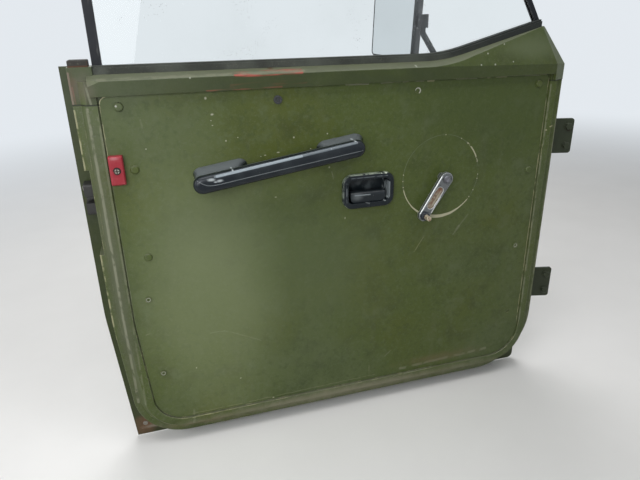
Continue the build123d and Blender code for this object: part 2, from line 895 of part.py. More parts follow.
with BuildPart() as latch_case:
    with BuildSketch(latch_face(notch_face)):
        with Locations((-mouth_face - latch_case_depth / 2, latch_z)):
            RectangleRounded(latch_case_depth, latch_height, latch_corner)
    extrude(amount=latch_case_thick)
    with BuildSketch(latch_face(notch_face)):
        with Locations((-claw_middle, latch_z)):
            Circle(latch_mouth / 2)
        with Locations(((-mouth_face - claw_middle) / 2, latch_z)):
            Rectangle(claw_middle - mouth_face, latch_mouth)
    extrude(amount=latch_case_thick, mode=Mode.SUBTRACT)
    with BuildSketch(latch_face(notch_face - latch_case_thick)):
        with Locations((-claw_middle, latch_z)):
            Circle(claw_radius + seat_fit)
    extrude(amount=-claw_sheet, mode=Mode.SUBTRACT)
save(latch_case.part, "latch_case")
with BuildPart() as latch_claw:
    with BuildSketch(latch_face(notch_face - latch_case_thick)):
        with Locations((-claw_middle, latch_z)):
            Circle(claw_radius)
            Circle(latch_mouth / 2, mode=Mode.SUBTRACT)
        with Locations((claw_radius - claw_middle, latch_z)):
            Rectangle(2 * claw_radius, latch_mouth, mode=Mode.SUBTRACT)
    extrude(amount=-claw_sheet)
save(latch_claw.part, "latch_claw")

# Rivet head in the lower rear corner of the skin's flange
with BuildPart() as corner_rivet:
    with BuildSketch(facing(skin_depth)):
        with Locations((-trim_width - rivet_outward, -trim_height - rivet_below)):
            Circle(rivet_radius)
    extrude(amount=rivet_height)
save(corner_rivet.part, "corner_rivet")


def outside(x, z, depth=skin_face):
    """Plane looking at the outer skin from outside, with its x towards the latch edge."""
    origin = facing(depth).from_local_coords(Vector(x, z, 0))
    return Plane(origin=origin, x_dir=(-1, 0, 0), z_dir=(0, 1, 0))


# Outer handle: plate, fixed grip on two feet, push button and lock
with BuildPart() as handle_plate:
    with BuildSketch(outside(-grip_x, -grip_drop)):
        SlotOverall(handle_plate_length, handle_plate_height)
    extrude(amount=handle_plate_sheet)
    fillet(handle_plate.faces().sort_by(Axis.Y)[-1].edges(), handle_plate_sheet / 2)
save(handle_plate.part, "outer_handle_plate")
plate_face = skin_face + handle_plate_sheet
with BuildPart() as grip:
    with BuildSketch(outside(-grip_x, -grip_drop, plate_face)):
        for side in (-1, 1):
            with Locations((grip_shift + side * (grip_length - grip_foot) / 2, 0)):
                RectangleRounded(grip_foot, grip_height, grip_corner)
    extrude(amount=grip_standoff + grip_thick / 2)
    with BuildSketch(outside(-grip_x, -grip_drop, plate_face + grip_standoff)):
        with Locations((grip_shift, 0)):
            RectangleRounded(grip_length, grip_height, grip_corner)
    extrude(amount=grip_thick)
    fillet(grip.faces().sort_by(Axis.Y)[-1].edges(), grip_edge)
save(grip.part, "outer_handle_grip")
with BuildPart() as button:
    with BuildSketch(outside(-grip_x, -grip_drop, plate_face)):
        with Locations((-button_shift, 0)):
            Circle(button_radius)
    extrude(amount=button_length)
    fillet(button.faces().sort_by(Axis.Y)[-1].edges(), button_edge)
save(button.part, "push_button")
with BuildPart() as lock:
    with BuildSketch(outside(-grip_x, -grip_drop, plate_face + button_length)):
        with Locations((-button_shift, 0)):
            Circle(lock_radius)
            Rectangle(key_slot, key_slot / 4, mode=Mode.SUBTRACT)
    extrude(amount=lock_height)
save(lock.part, "lock_cylinder")


def mirror_face(back):
    """Plane of the mirror's front, moved back towards its housing."""
    middle_z = mirror_bottom + mirror_height / 2
    origin = facing(mirror_out).from_local_coords(Vector(-mirror_x, middle_z, 0)) - mirror_look * back
    x_dir = mirror_side * cos(radians(mirror_roll)) - Vector(0, 0, sin(radians(mirror_roll)))
    return Plane(origin=origin, x_dir=x_dir, z_dir=mirror_look)


mirror_look = Vector(-cos(radians(mirror_yaw)), -sin(radians(mirror_yaw)), 0)
mirror_side = Vector(sin(radians(mirror_yaw)), -cos(radians(mirror_yaw)), 0)


# Outer mirror: bracket on the skin, bent arm, clamp, housing and glass
with BuildPart() as mirror_housing:
    with BuildSketch(mirror_face(0)):
        RectangleRounded(mirror_width, mirror_height, mirror_corner)
    extrude(amount=-mirror_depth, taper=mirror_taper)
    fillet(mirror_housing.faces().sort_by(Axis.X)[-1].edges(), mirror_corner / 2)
    with BuildSketch(mirror_face(0)):
        RectangleRounded(mirror_width - 2 * mirror_rim, mirror_height - 2 * mirror_rim, mirror_corner / 2)
    extrude(amount=-mirror_glass_sheet, mode=Mode.SUBTRACT)
save(mirror_housing.part, "mirror_housing")
with BuildPart() as mirror_glass:
    with BuildSketch(mirror_face(mirror_glass_sheet)):
        RectangleRounded(
            mirror_width - 2 * mirror_rim - 2 * seat_fit,
            mirror_height - 2 * mirror_rim - 2 * seat_fit,
            mirror_corner / 2,
        )
    extrude(amount=mirror_glass_sheet / 2)
save(mirror_glass.part, "mirror_glass")

clamp_side = mirror_width / 2 + clamp_reach
arm_middle = mirror_face(mirror_depth / 2).from_local_coords(Vector(clamp_side, 0, 0))
bracket_face = skin_face + bracket_sheet
arm_start = facing(bracket_face).from_local_coords(Vector(-bracket_x, -bracket_drop, 0))
arm_out = arm_start + Vector(0, bracket_boss_length + arm_bend, 0)
arm_elbow_point = Vector(arm_middle.X, arm_middle.Y, door_z + arm_elbow)
arm_end = Vector(arm_middle.X, arm_middle.Y, door_z + arm_top)
with BuildPart() as mirror_arm:
    with BuildLine() as arm_path:
        FilletPolyline(arm_start, arm_out, arm_elbow_point, arm_end, radius=arm_bend)
    with BuildSketch(Plane(origin=arm_start, z_dir=(0, 1, 0))):
        Circle(arm_radius)
    sweep(path=arm_path.wires()[0])
save(mirror_arm.part, "mirror_arm")
with BuildPart() as mirror_clamp:
    clamp_base = Vector(arm_middle.X, arm_middle.Y, door_z + arm_top - clamp_height)
    with BuildSketch(Plane(origin=clamp_base, x_dir=mirror_side, z_dir=(0, 0, 1))):
        Circle(clamp_radius)
        with Locations((-clamp_reach, 0)):
            Rectangle(2 * clamp_reach, clamp_radius)
        Circle(arm_radius + seat_fit, mode=Mode.SUBTRACT)
    extrude(amount=clamp_height)
    add(mirror_housing.part, mode=Mode.SUBTRACT)
save(mirror_clamp.part, "mirror_clamp")
with BuildPart() as mirror_bracket:
    with BuildSketch(outside(-bracket_x, -bracket_drop)):
        RectangleRounded(bracket_width, bracket_height, bracket_corner)
    extrude(amount=bracket_sheet)
    with BuildSketch(outside(-bracket_x, -bracket_drop, bracket_face)):
        Circle(bracket_boss_radius)
        Circle(arm_radius + seat_fit, mode=Mode.SUBTRACT)
    extrude(amount=bracket_boss_length)
save(mirror_bracket.part, "mirror_bracket")


def pillar_face(height):
    """Plane on the pillar side of a hinge's fixed leaf, with its x away from the hinge axis."""
    return Plane(origin=(0, 0, height), x_dir=(sin(turn), -cos(turn), 0), z_dir=(-cos(turn), -sin(turn), 0))


def knuckle_plane(height):
    """Horizontal plane on the hinge axis."""
    return Plane(origin=(axis_x, axis_y, height))


# Hinges: fixed leaf with the lower knuckle and the pin, door leaf with the knuckle that lifts off
half_leaf = leaf_height / 2
leaf_wall = landing_margin
for name, height in {"upper": 0, "lower": -hinge_spacing}.items():
    with BuildPart() as pillar_leaf:
        with BuildSketch(pillar_face(height)):
            outline([
                (-bolt_inboard, -half_leaf, 0),
                (bolt_end, -half_leaf, bolt_end / 2),
                (bolt_end, half_leaf, bolt_end / 2),
                (knuckle_radius + knuckle_clearance - bolt_inboard, half_leaf, 0),
                (knuckle_radius + knuckle_clearance - bolt_inboard, -knuckle_gap, 0),
                (-bolt_inboard, -knuckle_gap, 0),
            ])
            with GridLocations(0, bolt_spacing, 1, 2):
                Circle(bolt_hole / 2, mode=Mode.SUBTRACT)
        extrude(amount=leaf_sheet)
        with BuildSketch(knuckle_plane(height - half_leaf)):
            Circle(knuckle_radius)
        extrude(amount=half_leaf - knuckle_gap)
        with BuildSketch(knuckle_plane(height - half_leaf)):
            Circle(pin_radius)
        extrude(amount=leaf_height)
    save(pillar_leaf.part, "hinge_" + name + "_pillar_leaf")

    leaf_level = level(height - door_z - half_leaf)
    with BuildPart() as door_leaf:
        with BuildSketch(leaf_level):
            with Locations((leaf_wall + leaf_sheet / 2, skin_face - door_leaf_reach / 2)):
                Rectangle(leaf_sheet, door_leaf_reach)
        extrude(amount=leaf_height)
        with BuildSketch(leaf_level.offset(half_leaf + knuckle_gap)):
            with Locations((leaf_wall + leaf_sheet / 2, skin_face - seat_fit + axis_outboard / 2)):
                Rectangle(leaf_sheet, axis_outboard)
            with Locations((leaf_wall + axis_ahead / 2, skin_face + axis_outboard - knuckle_radius / 2)):
                Rectangle(axis_ahead, knuckle_radius)
            with Locations((leaf_wall + axis_ahead, skin_face + axis_outboard)):
                Circle(knuckle_radius)
                Circle(pin_radius + pin_clearance, mode=Mode.SUBTRACT)
        extrude(amount=half_leaf - knuckle_gap)
    save(door_leaf.part, "hinge_" + name + "_door_leaf")

# Heads of the bolts that hold the door leaves
with BuildPart() as hinge_bolts:
    for height in (0, -hinge_spacing):
        with BuildSketch(across(leaf_wall + leaf_sheet)):
            with Locations((skin_face - door_leaf_reach / 2, height - door_z)):
                with GridLocations(0, bolt_spacing, 1, 2):
                    RegularPolygon(door_bolt_radius, 6)
        extrude(amount=door_bolt_height)
save(hinge_bolts.part, "hinge_bolts")
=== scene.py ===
import bmesh
import bpy
import json
from math import cos, pi, radians, sin
from mathutils import Euler, Matrix, Vector
from mathutils.bvhtree import BVHTree


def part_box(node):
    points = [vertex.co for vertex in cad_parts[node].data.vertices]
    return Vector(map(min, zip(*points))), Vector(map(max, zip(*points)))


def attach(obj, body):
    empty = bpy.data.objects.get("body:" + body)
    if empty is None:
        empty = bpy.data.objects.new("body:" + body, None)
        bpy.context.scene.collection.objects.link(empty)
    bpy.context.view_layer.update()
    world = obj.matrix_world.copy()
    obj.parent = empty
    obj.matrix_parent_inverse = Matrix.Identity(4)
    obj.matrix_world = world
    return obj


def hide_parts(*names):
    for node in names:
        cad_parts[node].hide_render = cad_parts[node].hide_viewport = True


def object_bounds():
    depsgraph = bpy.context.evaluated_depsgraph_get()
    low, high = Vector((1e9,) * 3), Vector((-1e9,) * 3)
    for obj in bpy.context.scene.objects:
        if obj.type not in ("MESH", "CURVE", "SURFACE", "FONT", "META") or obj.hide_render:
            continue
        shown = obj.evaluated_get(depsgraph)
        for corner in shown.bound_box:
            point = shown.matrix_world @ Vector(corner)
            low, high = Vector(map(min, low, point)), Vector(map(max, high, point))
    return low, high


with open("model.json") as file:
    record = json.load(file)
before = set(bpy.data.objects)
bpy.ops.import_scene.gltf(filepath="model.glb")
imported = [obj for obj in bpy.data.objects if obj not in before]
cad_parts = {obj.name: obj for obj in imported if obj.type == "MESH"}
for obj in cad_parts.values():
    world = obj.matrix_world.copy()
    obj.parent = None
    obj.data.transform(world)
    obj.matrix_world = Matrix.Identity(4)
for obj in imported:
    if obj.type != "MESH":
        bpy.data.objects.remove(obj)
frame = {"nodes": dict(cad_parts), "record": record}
cad_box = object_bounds()
cad = frame["nodes"]

# Inner pan: a deep-drawn steel tray with a raised rim round the trim panel, spot welded to the
# skin and sprayed matt army green. Dust lies along its foot, and its paint is chipped on the edges.
panel_low, panel_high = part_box("trim_panel")


def on_door(x, z, depth=0.0):
    """A place in metres, from millimetres along and above the trim panel's upper front corner."""
    return Vector((panel_high[0] + x / 1000, panel_low[1] + depth / 1000, panel_high[2] + z / 1000))


def outline_of(node):
    """Rear, front, lower and upper edge of a CAD piece, in millimetres from the same corner."""
    low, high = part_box(node)
    across = ((corner[0] - panel_high[0]) * 1000 for corner in (low, high))
    upright = ((corner[2] - panel_high[2]) * 1000 for corner in (low, high))
    return (*across, *upright)


def middle_of(node):
    """Middle of a CAD piece on the door's face, in millimetres from the same corner."""
    rear, front, foot, top = outline_of(node)
    return (rear + front) / 2, (foot + top) / 2


class Bench:
    """Adds nodes to one node tree and wires them."""

    def __init__(self, tree):
        self.tree = tree

    def add(self, kind, **inputs):
        """A node with its inputs set or wired, by name or by number after an underscore."""
        node = self.tree.nodes.new(kind)
        for name, value in inputs.items():
            key = int(name[1:]) if name[1:].isdigit() else name.replace("_", " ")
            self.feed(node.inputs[key], value)
        return node

    def feed(self, socket, value):
        if isinstance(value, bpy.types.NodeSocket):
            self.tree.links.new(value, socket)
        else:
            socket.default_value = value

    def maths(self, kind, first, second=0.0, third=0.0):
        node = self.add("ShaderNodeMath", _0=first, _1=second, _2=third)
        node.operation = kind
        return node.outputs[0]

    def vector(self, kind, first, second=(0, 0, 0)):
        node = self.add("ShaderNodeVectorMath", _0=first, _1=second)
        node.operation = kind
        return node

    def watching(self):
        """Mask of the rays that show the backdrop: straight, mirrored and through glass."""
        rays = self.add("ShaderNodeLightPath").outputs
        seen = self.maths("MAXIMUM", rays["Is Camera Ray"], rays["Is Glossy Ray"])
        return self.maths("MAXIMUM", seen, rays["Is Transmission Ray"])


class Finish(Bench):
    """A finish laid up in coats on one shader. Its scales are counts to the metre."""

    def __init__(self, name, colour, roughness=0.5, metallic=0.0):
        self.material = bpy.data.materials.new(name)
        self.material.use_nodes = True
        super().__init__(self.material.node_tree)
        self.shader = self.tree.nodes["Principled BSDF"]
        self.shader.inputs["Base Color"].default_value = (*colour, 1)
        self.shader.inputs["Roughness"].default_value = roughness
        self.shader.inputs["Metallic"].default_value = metallic
        place = self.add("ShaderNodeTexCoord")
        self.where = place.outputs["Object"]
        self.way = place.outputs["Normal"]
        self.tone = (*colour, 1)
        self.rough = roughness
        self.normal = None
        self.frays = {}

    def cloud(self, scale, detail=3.0, stretch=(1, 1, 1), shift=0.0):
        """Soft random values; stretched ones run as streaks along the axis with the least scale."""
        spot = self.add("ShaderNodeMapping", Vector=self.where, Location=(shift, shift, shift))
        spot.inputs["Scale"].default_value = stretch
        noise = self.add("ShaderNodeTexNoise", Vector=spot.outputs[0], Scale=scale, Detail=detail)
        return noise.outputs[0]

    def span(self, value, low, high):
        """Soft step of a value from low to high."""
        node = self.add("ShaderNodeMapRange", _0=value, _1=low, _2=high)
        node.interpolation_type = "SMOOTHSTEP"
        return node.outputs[0]

    def patches(self, scale, detail, low, high, stretch=(1, 1, 1), shift=0.0):
        """Mask of random patches: the wider apart low and high are, the softer their edges."""
        return self.span(self.cloud(scale, detail, stretch, shift), low, high)

    def between(self, value, low, high, soft):
        """Mask of a value that lies from low to high."""
        rising = self.span(value, low - soft, low + soft)
        return self.both(rising, self.span(value, high + soft, high - soft))

    def both(self, first, second):
        return self.maths("MULTIPLY", first, second)

    def rest(self, mask):
        return self.maths("SUBTRACT", 1.0, mask)

    def coat(self, colour, mask, strength=1.0, blend="MIX"):
        """A colour over the ones below it, or a film added to them, where the mask is."""
        share = self.both(mask, strength) if strength < 1 else mask
        mix = self.add("ShaderNodeMix")
        mix.data_type = "RGBA"
        mix.blend_type = blend
        self.feed(mix.inputs["Factor"], share)
        self.feed(mix.inputs[6], self.tone)
        self.feed(mix.inputs[7], (*colour, 1))
        self.tone = mix.outputs[2]

    def sheen(self, roughness, mask, strength=1.0):
        """Another roughness, where the mask is."""
        share = self.both(mask, strength) if strength < 1 else mask
        mix = self.add("ShaderNodeMix", Factor=share, _2=self.rough, _3=roughness)
        self.rough = mix.outputs[0]

    def relief(self, height, depth):
        """Raised and sunk places, depth in metres."""
        bump = self.add("ShaderNodeBump", Strength=1.0, Distance=depth, Height=height)
        if self.normal:
            self.feed(bump.inputs["Normal"], self.normal)
        self.normal = bump.outputs[0]

    def rounded(self, radius):
        """Edges that catch the light as pressed or moulded ones do."""
        bevel = self.add("ShaderNodeBevel", Radius=radius)
        bevel.samples = 6
        self.normal = bevel.outputs[0]

    def edges(self, radius, faint=0.01, full=0.2):
        """Mask of the edges and folds within a radius."""
        bevel = self.add("ShaderNodeBevel", Radius=radius)
        bevel.samples = 8
        flat = self.add("ShaderNodeNewGeometry").outputs["Normal"]
        turned = self.vector("DOT_PRODUCT", bevel.outputs[0], flat).outputs["Value"]
        return self.span(self.rest(turned), faint, full)

    def turned_to(self, way, low=0.3, high=0.8):
        """Mask of the faces that look a certain way."""
        return self.span(self.vector("DOT_PRODUCT", self.way, way).outputs["Value"], low, high)

    def flat(self, wobble=0.0):
        """Place on the door's face, with depth left out and a little unsteadiness in metres."""
        spot = self.where
        if wobble:
            noise = self.add("ShaderNodeTexNoise", Vector=self.where, Scale=45.0, Detail=3.0)
            shake = self.vector("SUBTRACT", noise.outputs[1], (0.5, 0.5, 0.5)).outputs[0]
            shake = self.vector("MULTIPLY", shake, (wobble, wobble, wobble)).outputs[0]
            spot = self.vector("ADD", spot, shake).outputs[0]
        return self.vector("MULTIPLY", spot, (1, 0, 1)).outputs[0]

    def away_from(self, place, spot=None):
        """Way from a place on the door's face, with depth left out."""
        middle = on_door(*place)
        middle.y = 0
        return self.vector("SUBTRACT", spot or self.flat(), middle).outputs[0]

    def stroke(self, start, end, width, spot=None):
        """Mask of a scratch between two places on the door's face, in millimetres."""
        away = self.away_from(start, spot)
        run = on_door(*end) - on_door(*start)
        along = self.vector("DOT_PRODUCT", away, run / run.length_squared).outputs["Value"]
        share = self.add("ShaderNodeClamp", Value=along).outputs[0]
        nearest = self.vector("SCALE", run)
        self.feed(nearest.inputs["Scale"], share)
        gap = self.vector("DISTANCE", away, nearest.outputs[0]).outputs["Value"]
        rim = width / 1000
        return self.span(gap, rim, rim * 0.4)

    def ring(self, centre, radius, spot=None):
        """Distance from a circle on the door's face, and the turn round its centre in degrees."""
        away = self.away_from(centre, spot)
        gap = self.vector("LENGTH", away).outputs["Value"]
        gap = self.maths("ABSOLUTE", self.maths("SUBTRACT", gap, radius / 1000))
        split = self.add("ShaderNodeSeparateXYZ", Vector=away).outputs
        return gap, self.maths("DEGREES", self.maths("ARCTAN2", split[2], split[0]))

    def blotch(self, centre, size, ragged=0.35, grain=60.0):
        """Mask of a ragged stain with a size along x and z, in millimetres."""
        away = self.away_from(centre)
        away = self.vector("DIVIDE", away, (size[0] / 1000, 1, size[1] / 1000)).outputs[0]
        gap = self.vector("LENGTH", away).outputs["Value"]
        if grain not in self.frays:
            self.frays[grain] = self.cloud(grain, 4.0)
        gap = self.maths("MULTIPLY_ADD", self.frays[grain], ragged, gap)
        return self.span(gap, 1.0 + ragged / 2, 0.35)

    def onto(self, *forms):
        """Ends the finish and lays it on its pieces."""
        self.feed(self.shader.inputs["Base Color"], self.tone)
        self.feed(self.shader.inputs["Roughness"], self.rough)
        if self.normal:
            self.feed(self.shader.inputs["Normal"], self.normal)
        for form in forms:
            form.data.materials.clear()
            form.data.materials.append(self.material)


paint_green = (0.070, 0.094, 0.021)
paint_faded = (0.098, 0.122, 0.056)
paint_olive = (0.074, 0.090, 0.012)
paint_dark = (0.046, 0.066, 0.018)
paint_shadow = (0.016, 0.020, 0.009)
pale_grey_green = (0.235, 0.24, 0.165)
chip_cream = (0.38, 0.36, 0.215)
rust_brown = (0.105, 0.055, 0.03)
dust_grey = (0.165, 0.165, 0.125)
up, inward = (0, 0, 1), (0, -1, 0)
fine_fray = 300.0


def army_paint(name, radius=0.0015, dusty=0.25, chipped=0.35, rusty=0.0, wear=0.0025):
    """Matt green paint with faded and dark patches, dust, chipped edges and rust, and pale edges of
    rubbed paint and painted highlight.
    """
    paint = Finish(name, paint_green, 0.46)
    paint.shader.inputs["Specular IOR Level"].default_value = 0.3
    paint.rounded(radius)
    for tone, strength, scale, detail, low, high, shift in (
        (paint_faded, 0.60, 3.2, 5.0, 0.42, 0.72, 0.0),
        (paint_olive, 0.70, 4.5, 4.0, 0.46, 0.68, 7.0),
        (paint_dark, 0.50, 9.0, 5.0, 0.50, 0.75, 3.0),
        (paint_shadow, 0.35, 24.0, 6.0, 0.50, 0.80, 8.0),
        (paint_faded, 0.60, 30.0, 6.0, 0.52, 0.80, 5.0),
        (paint_faded, 0.40, 150.0, 6.0, 0.50, 0.70, 11.0),
        (paint_dark, 0.45, 120.0, 6.0, 0.50, 0.70, 13.0),
    ):
        paint.coat(tone, paint.patches(scale, detail, low, high, shift=shift), strength)
    grit = paint.patches(420.0, 3.0, 0.52, 0.78)
    paint.coat(dust_grey, grit, dusty)
    paint.coat(dust_grey, paint.patches(7.0, 4.0, 0.52, 0.85, stretch=(7, 7, 1)), dusty * 0.5)
    paint.coat(dust_grey, paint.turned_to(up), dusty * 0.8)
    # Pale edges: rubbed paint, and painted highlights along the folds.
    fold = paint.edges(wear)
    rubbed_and_highlit = paint.both(fold, paint.patches(26.0, 5.0, 0.38, 0.6, shift=4.0))
    paint.coat(pale_grey_green, rubbed_and_highlit, chipped * 0.75)
    worn = paint.both(fold, paint.patches(55.0, 5.0, 0.54, 0.62, shift=1.0))
    paint.coat(chip_cream, worn, chipped)
    if rusty:
        sound = 0.66 - 0.2 * rusty
        bare = paint.patches(38.0, 6.0, sound, sound + 0.08, shift=5.0)
        paint.coat(rust_brown, bare)
        paint.sheen(0.85, bare)
    paint.sheen(0.66, grit, 0.7)
    paint.sheen(0.36, paint.patches(12.0, 3.0, 0.5, 0.75, shift=9.0), 0.6)
    paint.relief(paint.cloud(900.0, 2.0), 0.00006)
    paint.relief(paint.cloud(70.0, 3.0), 0.00025)
    paint.relief(paint.cloud(11.0, 2.0, shift=2.0), 0.0012)
    return paint


def lined(paint, marks, wobble=0.002):
    """Lines of wear and painted highlights from rows of start, end, width, colour and strength,
    broken up by patches.
    """
    broken = paint.both(
        paint.patches(60.0, 5.0, 0.36, 0.52, shift=6.0), paint.turned_to(inward, 0.05, 0.4),
    )
    spot = paint.flat(wobble)
    for start, end, width, colour, strength in marks:
        paint.coat(colour, paint.both(paint.stroke(start, end, width, spot), broken), strength)


def specked(paint, colour, specks, ragged, strength=1.0, grain=fine_fray):
    """Small ragged spots from rows of x, z, width and height in millimetres."""
    for x, z, wide, high in specks:
        paint.coat(colour, paint.blotch((x, z), (wide, high), ragged, grain), strength)


pan_rear, pan_front, pan_foot, pan_top = outline_of("inner_pan")
panel_rear, panel_front = outline_of("trim_panel")[:2]


def seamed(paint, height):
    """Dark joint between the pan and the belt rail, where it shows beside the trim panel."""
    for seam_start, seam_end in ((pan_rear, panel_rear), (panel_front, pan_front)):
        paint.coat(paint_shadow, paint.stroke((seam_start, height), (seam_end, height), 1.3), 0.85)


pan_paint = army_paint("pan_paint", dusty=0.55, chipped=0.85, wear=0.003)
rear_rim_sheen, foot_dust, foot_rust = (0.104, 0.112, 0.070), (0.22, 0.21, 0.14), (0.20, 0.14, 0.085)
# Painted sheen: a paler band along the pan's rear rim.
pan_paint.coat(rear_rim_sheen, pan_paint.blotch((pan_rear + 20, -300), (24, 420), 0.4), 0.75)
pan_paint.coat(foot_dust, pan_paint.blotch((-400, pan_foot + 18), (540, 24), 0.6), 0.95)
pan_paint.coat(foot_rust, pan_paint.blotch((-700, pan_foot + 16), (90, 12), 0.9), 0.5)
# The pale line at -817.5, along the rear rim's crest, is a painted highlight.
lined(pan_paint, (
    ((pan_rear + 1, -20), (pan_rear + 1, -600), 2.2, chip_cream, 0.75),
    ((-817.5, -18), (-817.5, -560), 3.2, pale_grey_green, 0.75),
    ((-804, -30), (-804, -560), 2.2, pale_grey_green, 0.35),
    ((4, -20), (4, -540), 2.2, pale_grey_green, 0.5),
    ((pan_front - 1, -20), (pan_front - 4, -560), 2.0, pale_grey_green, 0.6),
))
lined(pan_paint, (
    ((-723, -611), (-342, -604), 1.5, chip_cream, 0.6),
    ((-300, -612), (-60, -603), 1.2, pale_grey_green, 0.8),
    ((-720, -612), (-721, -628), 3.0, pale_grey_green, 0.35),
), wobble=0.006)
seamed(pan_paint, pan_top - 0.3)
specked(pan_paint, chip_cream, (
    (15.7, -99.5, 3.5, 2), (6.3, -105.7, 3.5, 2), (27.7, -101.2, 3.5, 2),
), 0.2)
pan_paint.onto(cad["inner_pan"])

# Outer skin: one flat steel sheet with a pressed waist line, folded over the pan all round.
# Its lower rear corner has lost its paint and rusts, and its faces towards the cabin are darkened
# with painted shade from the pan.
skin_paint = army_paint("skin_paint", dusty=0.3, chipped=0.35, rusty=0.05)
rust_light, steel_bared = (0.22, 0.135, 0.08), (0.33, 0.30, 0.24)
# Painted shade on the faces turned towards the cabin.
skin_paint.coat(paint_shadow, skin_paint.turned_to(inward), 0.62)
skin_rust = skin_paint.blotch((-815, -648), (40, 32), 0.9)
skin_paint.coat(rust_brown, skin_rust)
skin_paint.coat(rust_light, skin_paint.both(skin_rust, skin_paint.cloud(300.0)))
skin_paint.coat(steel_bared, skin_paint.blotch((-790, -652), (46, 6), 0.8), 0.7)
skin_paint.sheen(0.9, skin_rust)
skin_paint.onto(cad["outer_skin"])

# Belt rail: a folded steel box over the pan with a raised nose in front, painted with it. Its
# upright face is darkened with painted shade, its nose is paler, and its top faces are paler with
# dust and painted top light. Seat belts and sleeves have rubbed its upper fold, whose pale line is
# also a painted highlight, and something red has scraped along it.
rail_paint = army_paint("rail_paint", dusty=0.3, chipped=0.6, wear=0.003)
soft_fray = 9.0
painted_shade_green, nose_paler = (0.026, 0.034, 0.013), (0.105, 0.128, 0.062)
shelf_dust_and_light, scrape_red = (0.17, 0.18, 0.13), (0.46, 0.10, 0.08)
# Painted shade: the upright face darkened, and more in its middle.
rail_face = rail_paint.turned_to(inward, 0.93, 0.99)
rail_face_shade = rail_paint.both(rail_face, rail_paint.patches(8.0, 3.0, 0.1, 0.5))
rail_paint.coat(painted_shade_green, rail_face_shade, 0.5)
rail_shade = rail_paint.both(rail_face_shade, rail_paint.blotch((-440, 5), (400, 60), 0.3, soft_fray))
rail_paint.coat(painted_shade_green, rail_shade, 0.55)
# A paler patch on the nose, and dust with painted top light on the up-facing faces.
rail_paint.coat(nose_paler, rail_paint.blotch((-50, 48), (90, 30), 0.5, soft_fray), 0.8)
rail_paint.coat(shelf_dust_and_light, rail_paint.turned_to(up, 0.4, 0.8), 0.45)
scrape_break = rail_paint.patches(50.0, 5.0, 0.42, 0.62, stretch=(0.4, 1, 4))
for scrape_start, scrape_end, scrape_width, scrape_strength in (
    ((-592, 23), (-486, 24.5), 5.0, 0.9),
    ((-640, 1.0), (-520, 2.0), 1.8, 0.26),
    ((-600, 6), (-480, 9), 5.0, 0.08),
):
    scrape = rail_paint.stroke(scrape_start, scrape_end, scrape_width)
    rail_paint.coat(scrape_red, rail_paint.both(scrape, scrape_break), scrape_strength)
end_dirt, end_bared, end_rusted = (0.13, 0.115, 0.08), (0.22, 0.165, 0.125), (0.17, 0.09, 0.065)
rail_paint.coat(end_dirt, rail_paint.blotch((-820, 12), (26, 34), 0.6), 0.6)
rail_paint.coat(rust_brown, rail_paint.blotch((-833, 22), (9, 26), 1.1), 0.55)
# The pale line along the upper fold, at z 24, is rubbed paint and a painted highlight.
lined(rail_paint, (
    ((pan_rear + 1, 34), (pan_rear + 1, -12), 2.4, end_bared, 0.8),
    ((-834, 14), (-833, -9), 1.8, end_rusted, 0.7),
    ((-814, 18), (-811, -10), 2.4, pale_grey_green, 0.7),
    ((-797, 24), (-480, 25), 2.2, pale_grey_green, 0.55),
))
seamed(rail_paint, pan_top + 0.3)
speck_pale, speck_rust = (0.42, 0.43, 0.36), (0.10, 0.06, 0.03)
specked(rail_paint, speck_pale, (
    (-663.3, 21.7, 2.0, 2.0), (-279.9, 24.5, 2.6, 2.6), (-139.3, 40.5, 2.2, 2.2),
    (-154.1, 21.9, 2.0, 2.0), (-125.6, 21.6, 2.4, 2.4), (-87.5, 25.0, 1.8, 1.8),
    (-104.4, 55.2, 2.0, 2.0),
), 0.4)
specked(rail_paint, speck_rust, ((-534, 30, 7, 3),), 0.5)
rail_paint.onto(cad["belt_rail"])

# Rivet that holds the skin's lower rear corner: a zinc-plated steel head gone pale, with rust
# round it.
rivet_zinc = Finish("rivet_zinc", (0.27, 0.255, 0.215), 0.55, 0.5)
rivet_zinc.rounded(0.0008)
rivet_zinc.coat(rust_brown, rivet_zinc.patches(400.0, 4.0, 0.5, 0.7), 0.6)
rivet_zinc.relief(rivet_zinc.cloud(900.0), 0.0001)
rivet_zinc.onto(cad["corner_rivet"])

# Window frame: three steel channels, mitred at the corners and sprayed satin black, with a
# rubber glass run pressed into them.
frame_black = Finish("frame_black", (0.010, 0.011, 0.014), 0.4)
frame_black.shader.inputs["Specular IOR Level"].default_value = 0.2
frame_black.rounded(0.0015)
black_faded, black_scuffed = (0.021, 0.023, 0.028), (0.11, 0.11, 0.105)
black_rubbed = (0.12, 0.125, 0.13)
frame_black.coat(black_faded, frame_black.patches(14.0, 5.0, 0.45, 0.75), 0.6)
frame_scuffs = frame_black.patches(90.0, 4.0, 0.62, 0.75, stretch=(3, 3, 0.3))
frame_black.coat(black_scuffed, frame_scuffs, 0.5)
frame_black.coat(black_rubbed, frame_black.edges(0.002), 0.5)
frame_black.sheen(0.6, frame_black.cloud(25.0, 4.0))
frame_black.relief(frame_black.cloud(700.0, 2.0), 0.00008)
frame_black.onto(cad["window_rear_post"], cad["window_header"], cad["window_front_post"])


def old_rubber(name, tone=(0.018, 0.019, 0.02), bloom=(0.075, 0.08, 0.08), amount=0.6):
    """Matt black rubber with a grey bloom and dust in its grain."""
    rubber = Finish(name, tone, 0.62)
    rubber.rounded(0.0008)
    rubber.coat(bloom, rubber.patches(22.0, 5.0, 0.35, 0.7), amount)
    rubber.coat(dust_grey, rubber.patches(500.0, 3.0, 0.58, 0.75), 0.5)
    rubber.sheen(0.8, rubber.cloud(35.0))
    rubber.relief(rubber.cloud(1200.0, 2.0), 0.0001)
    return rubber


old_rubber("run_rubber").onto(cad["glass_run_seal"])

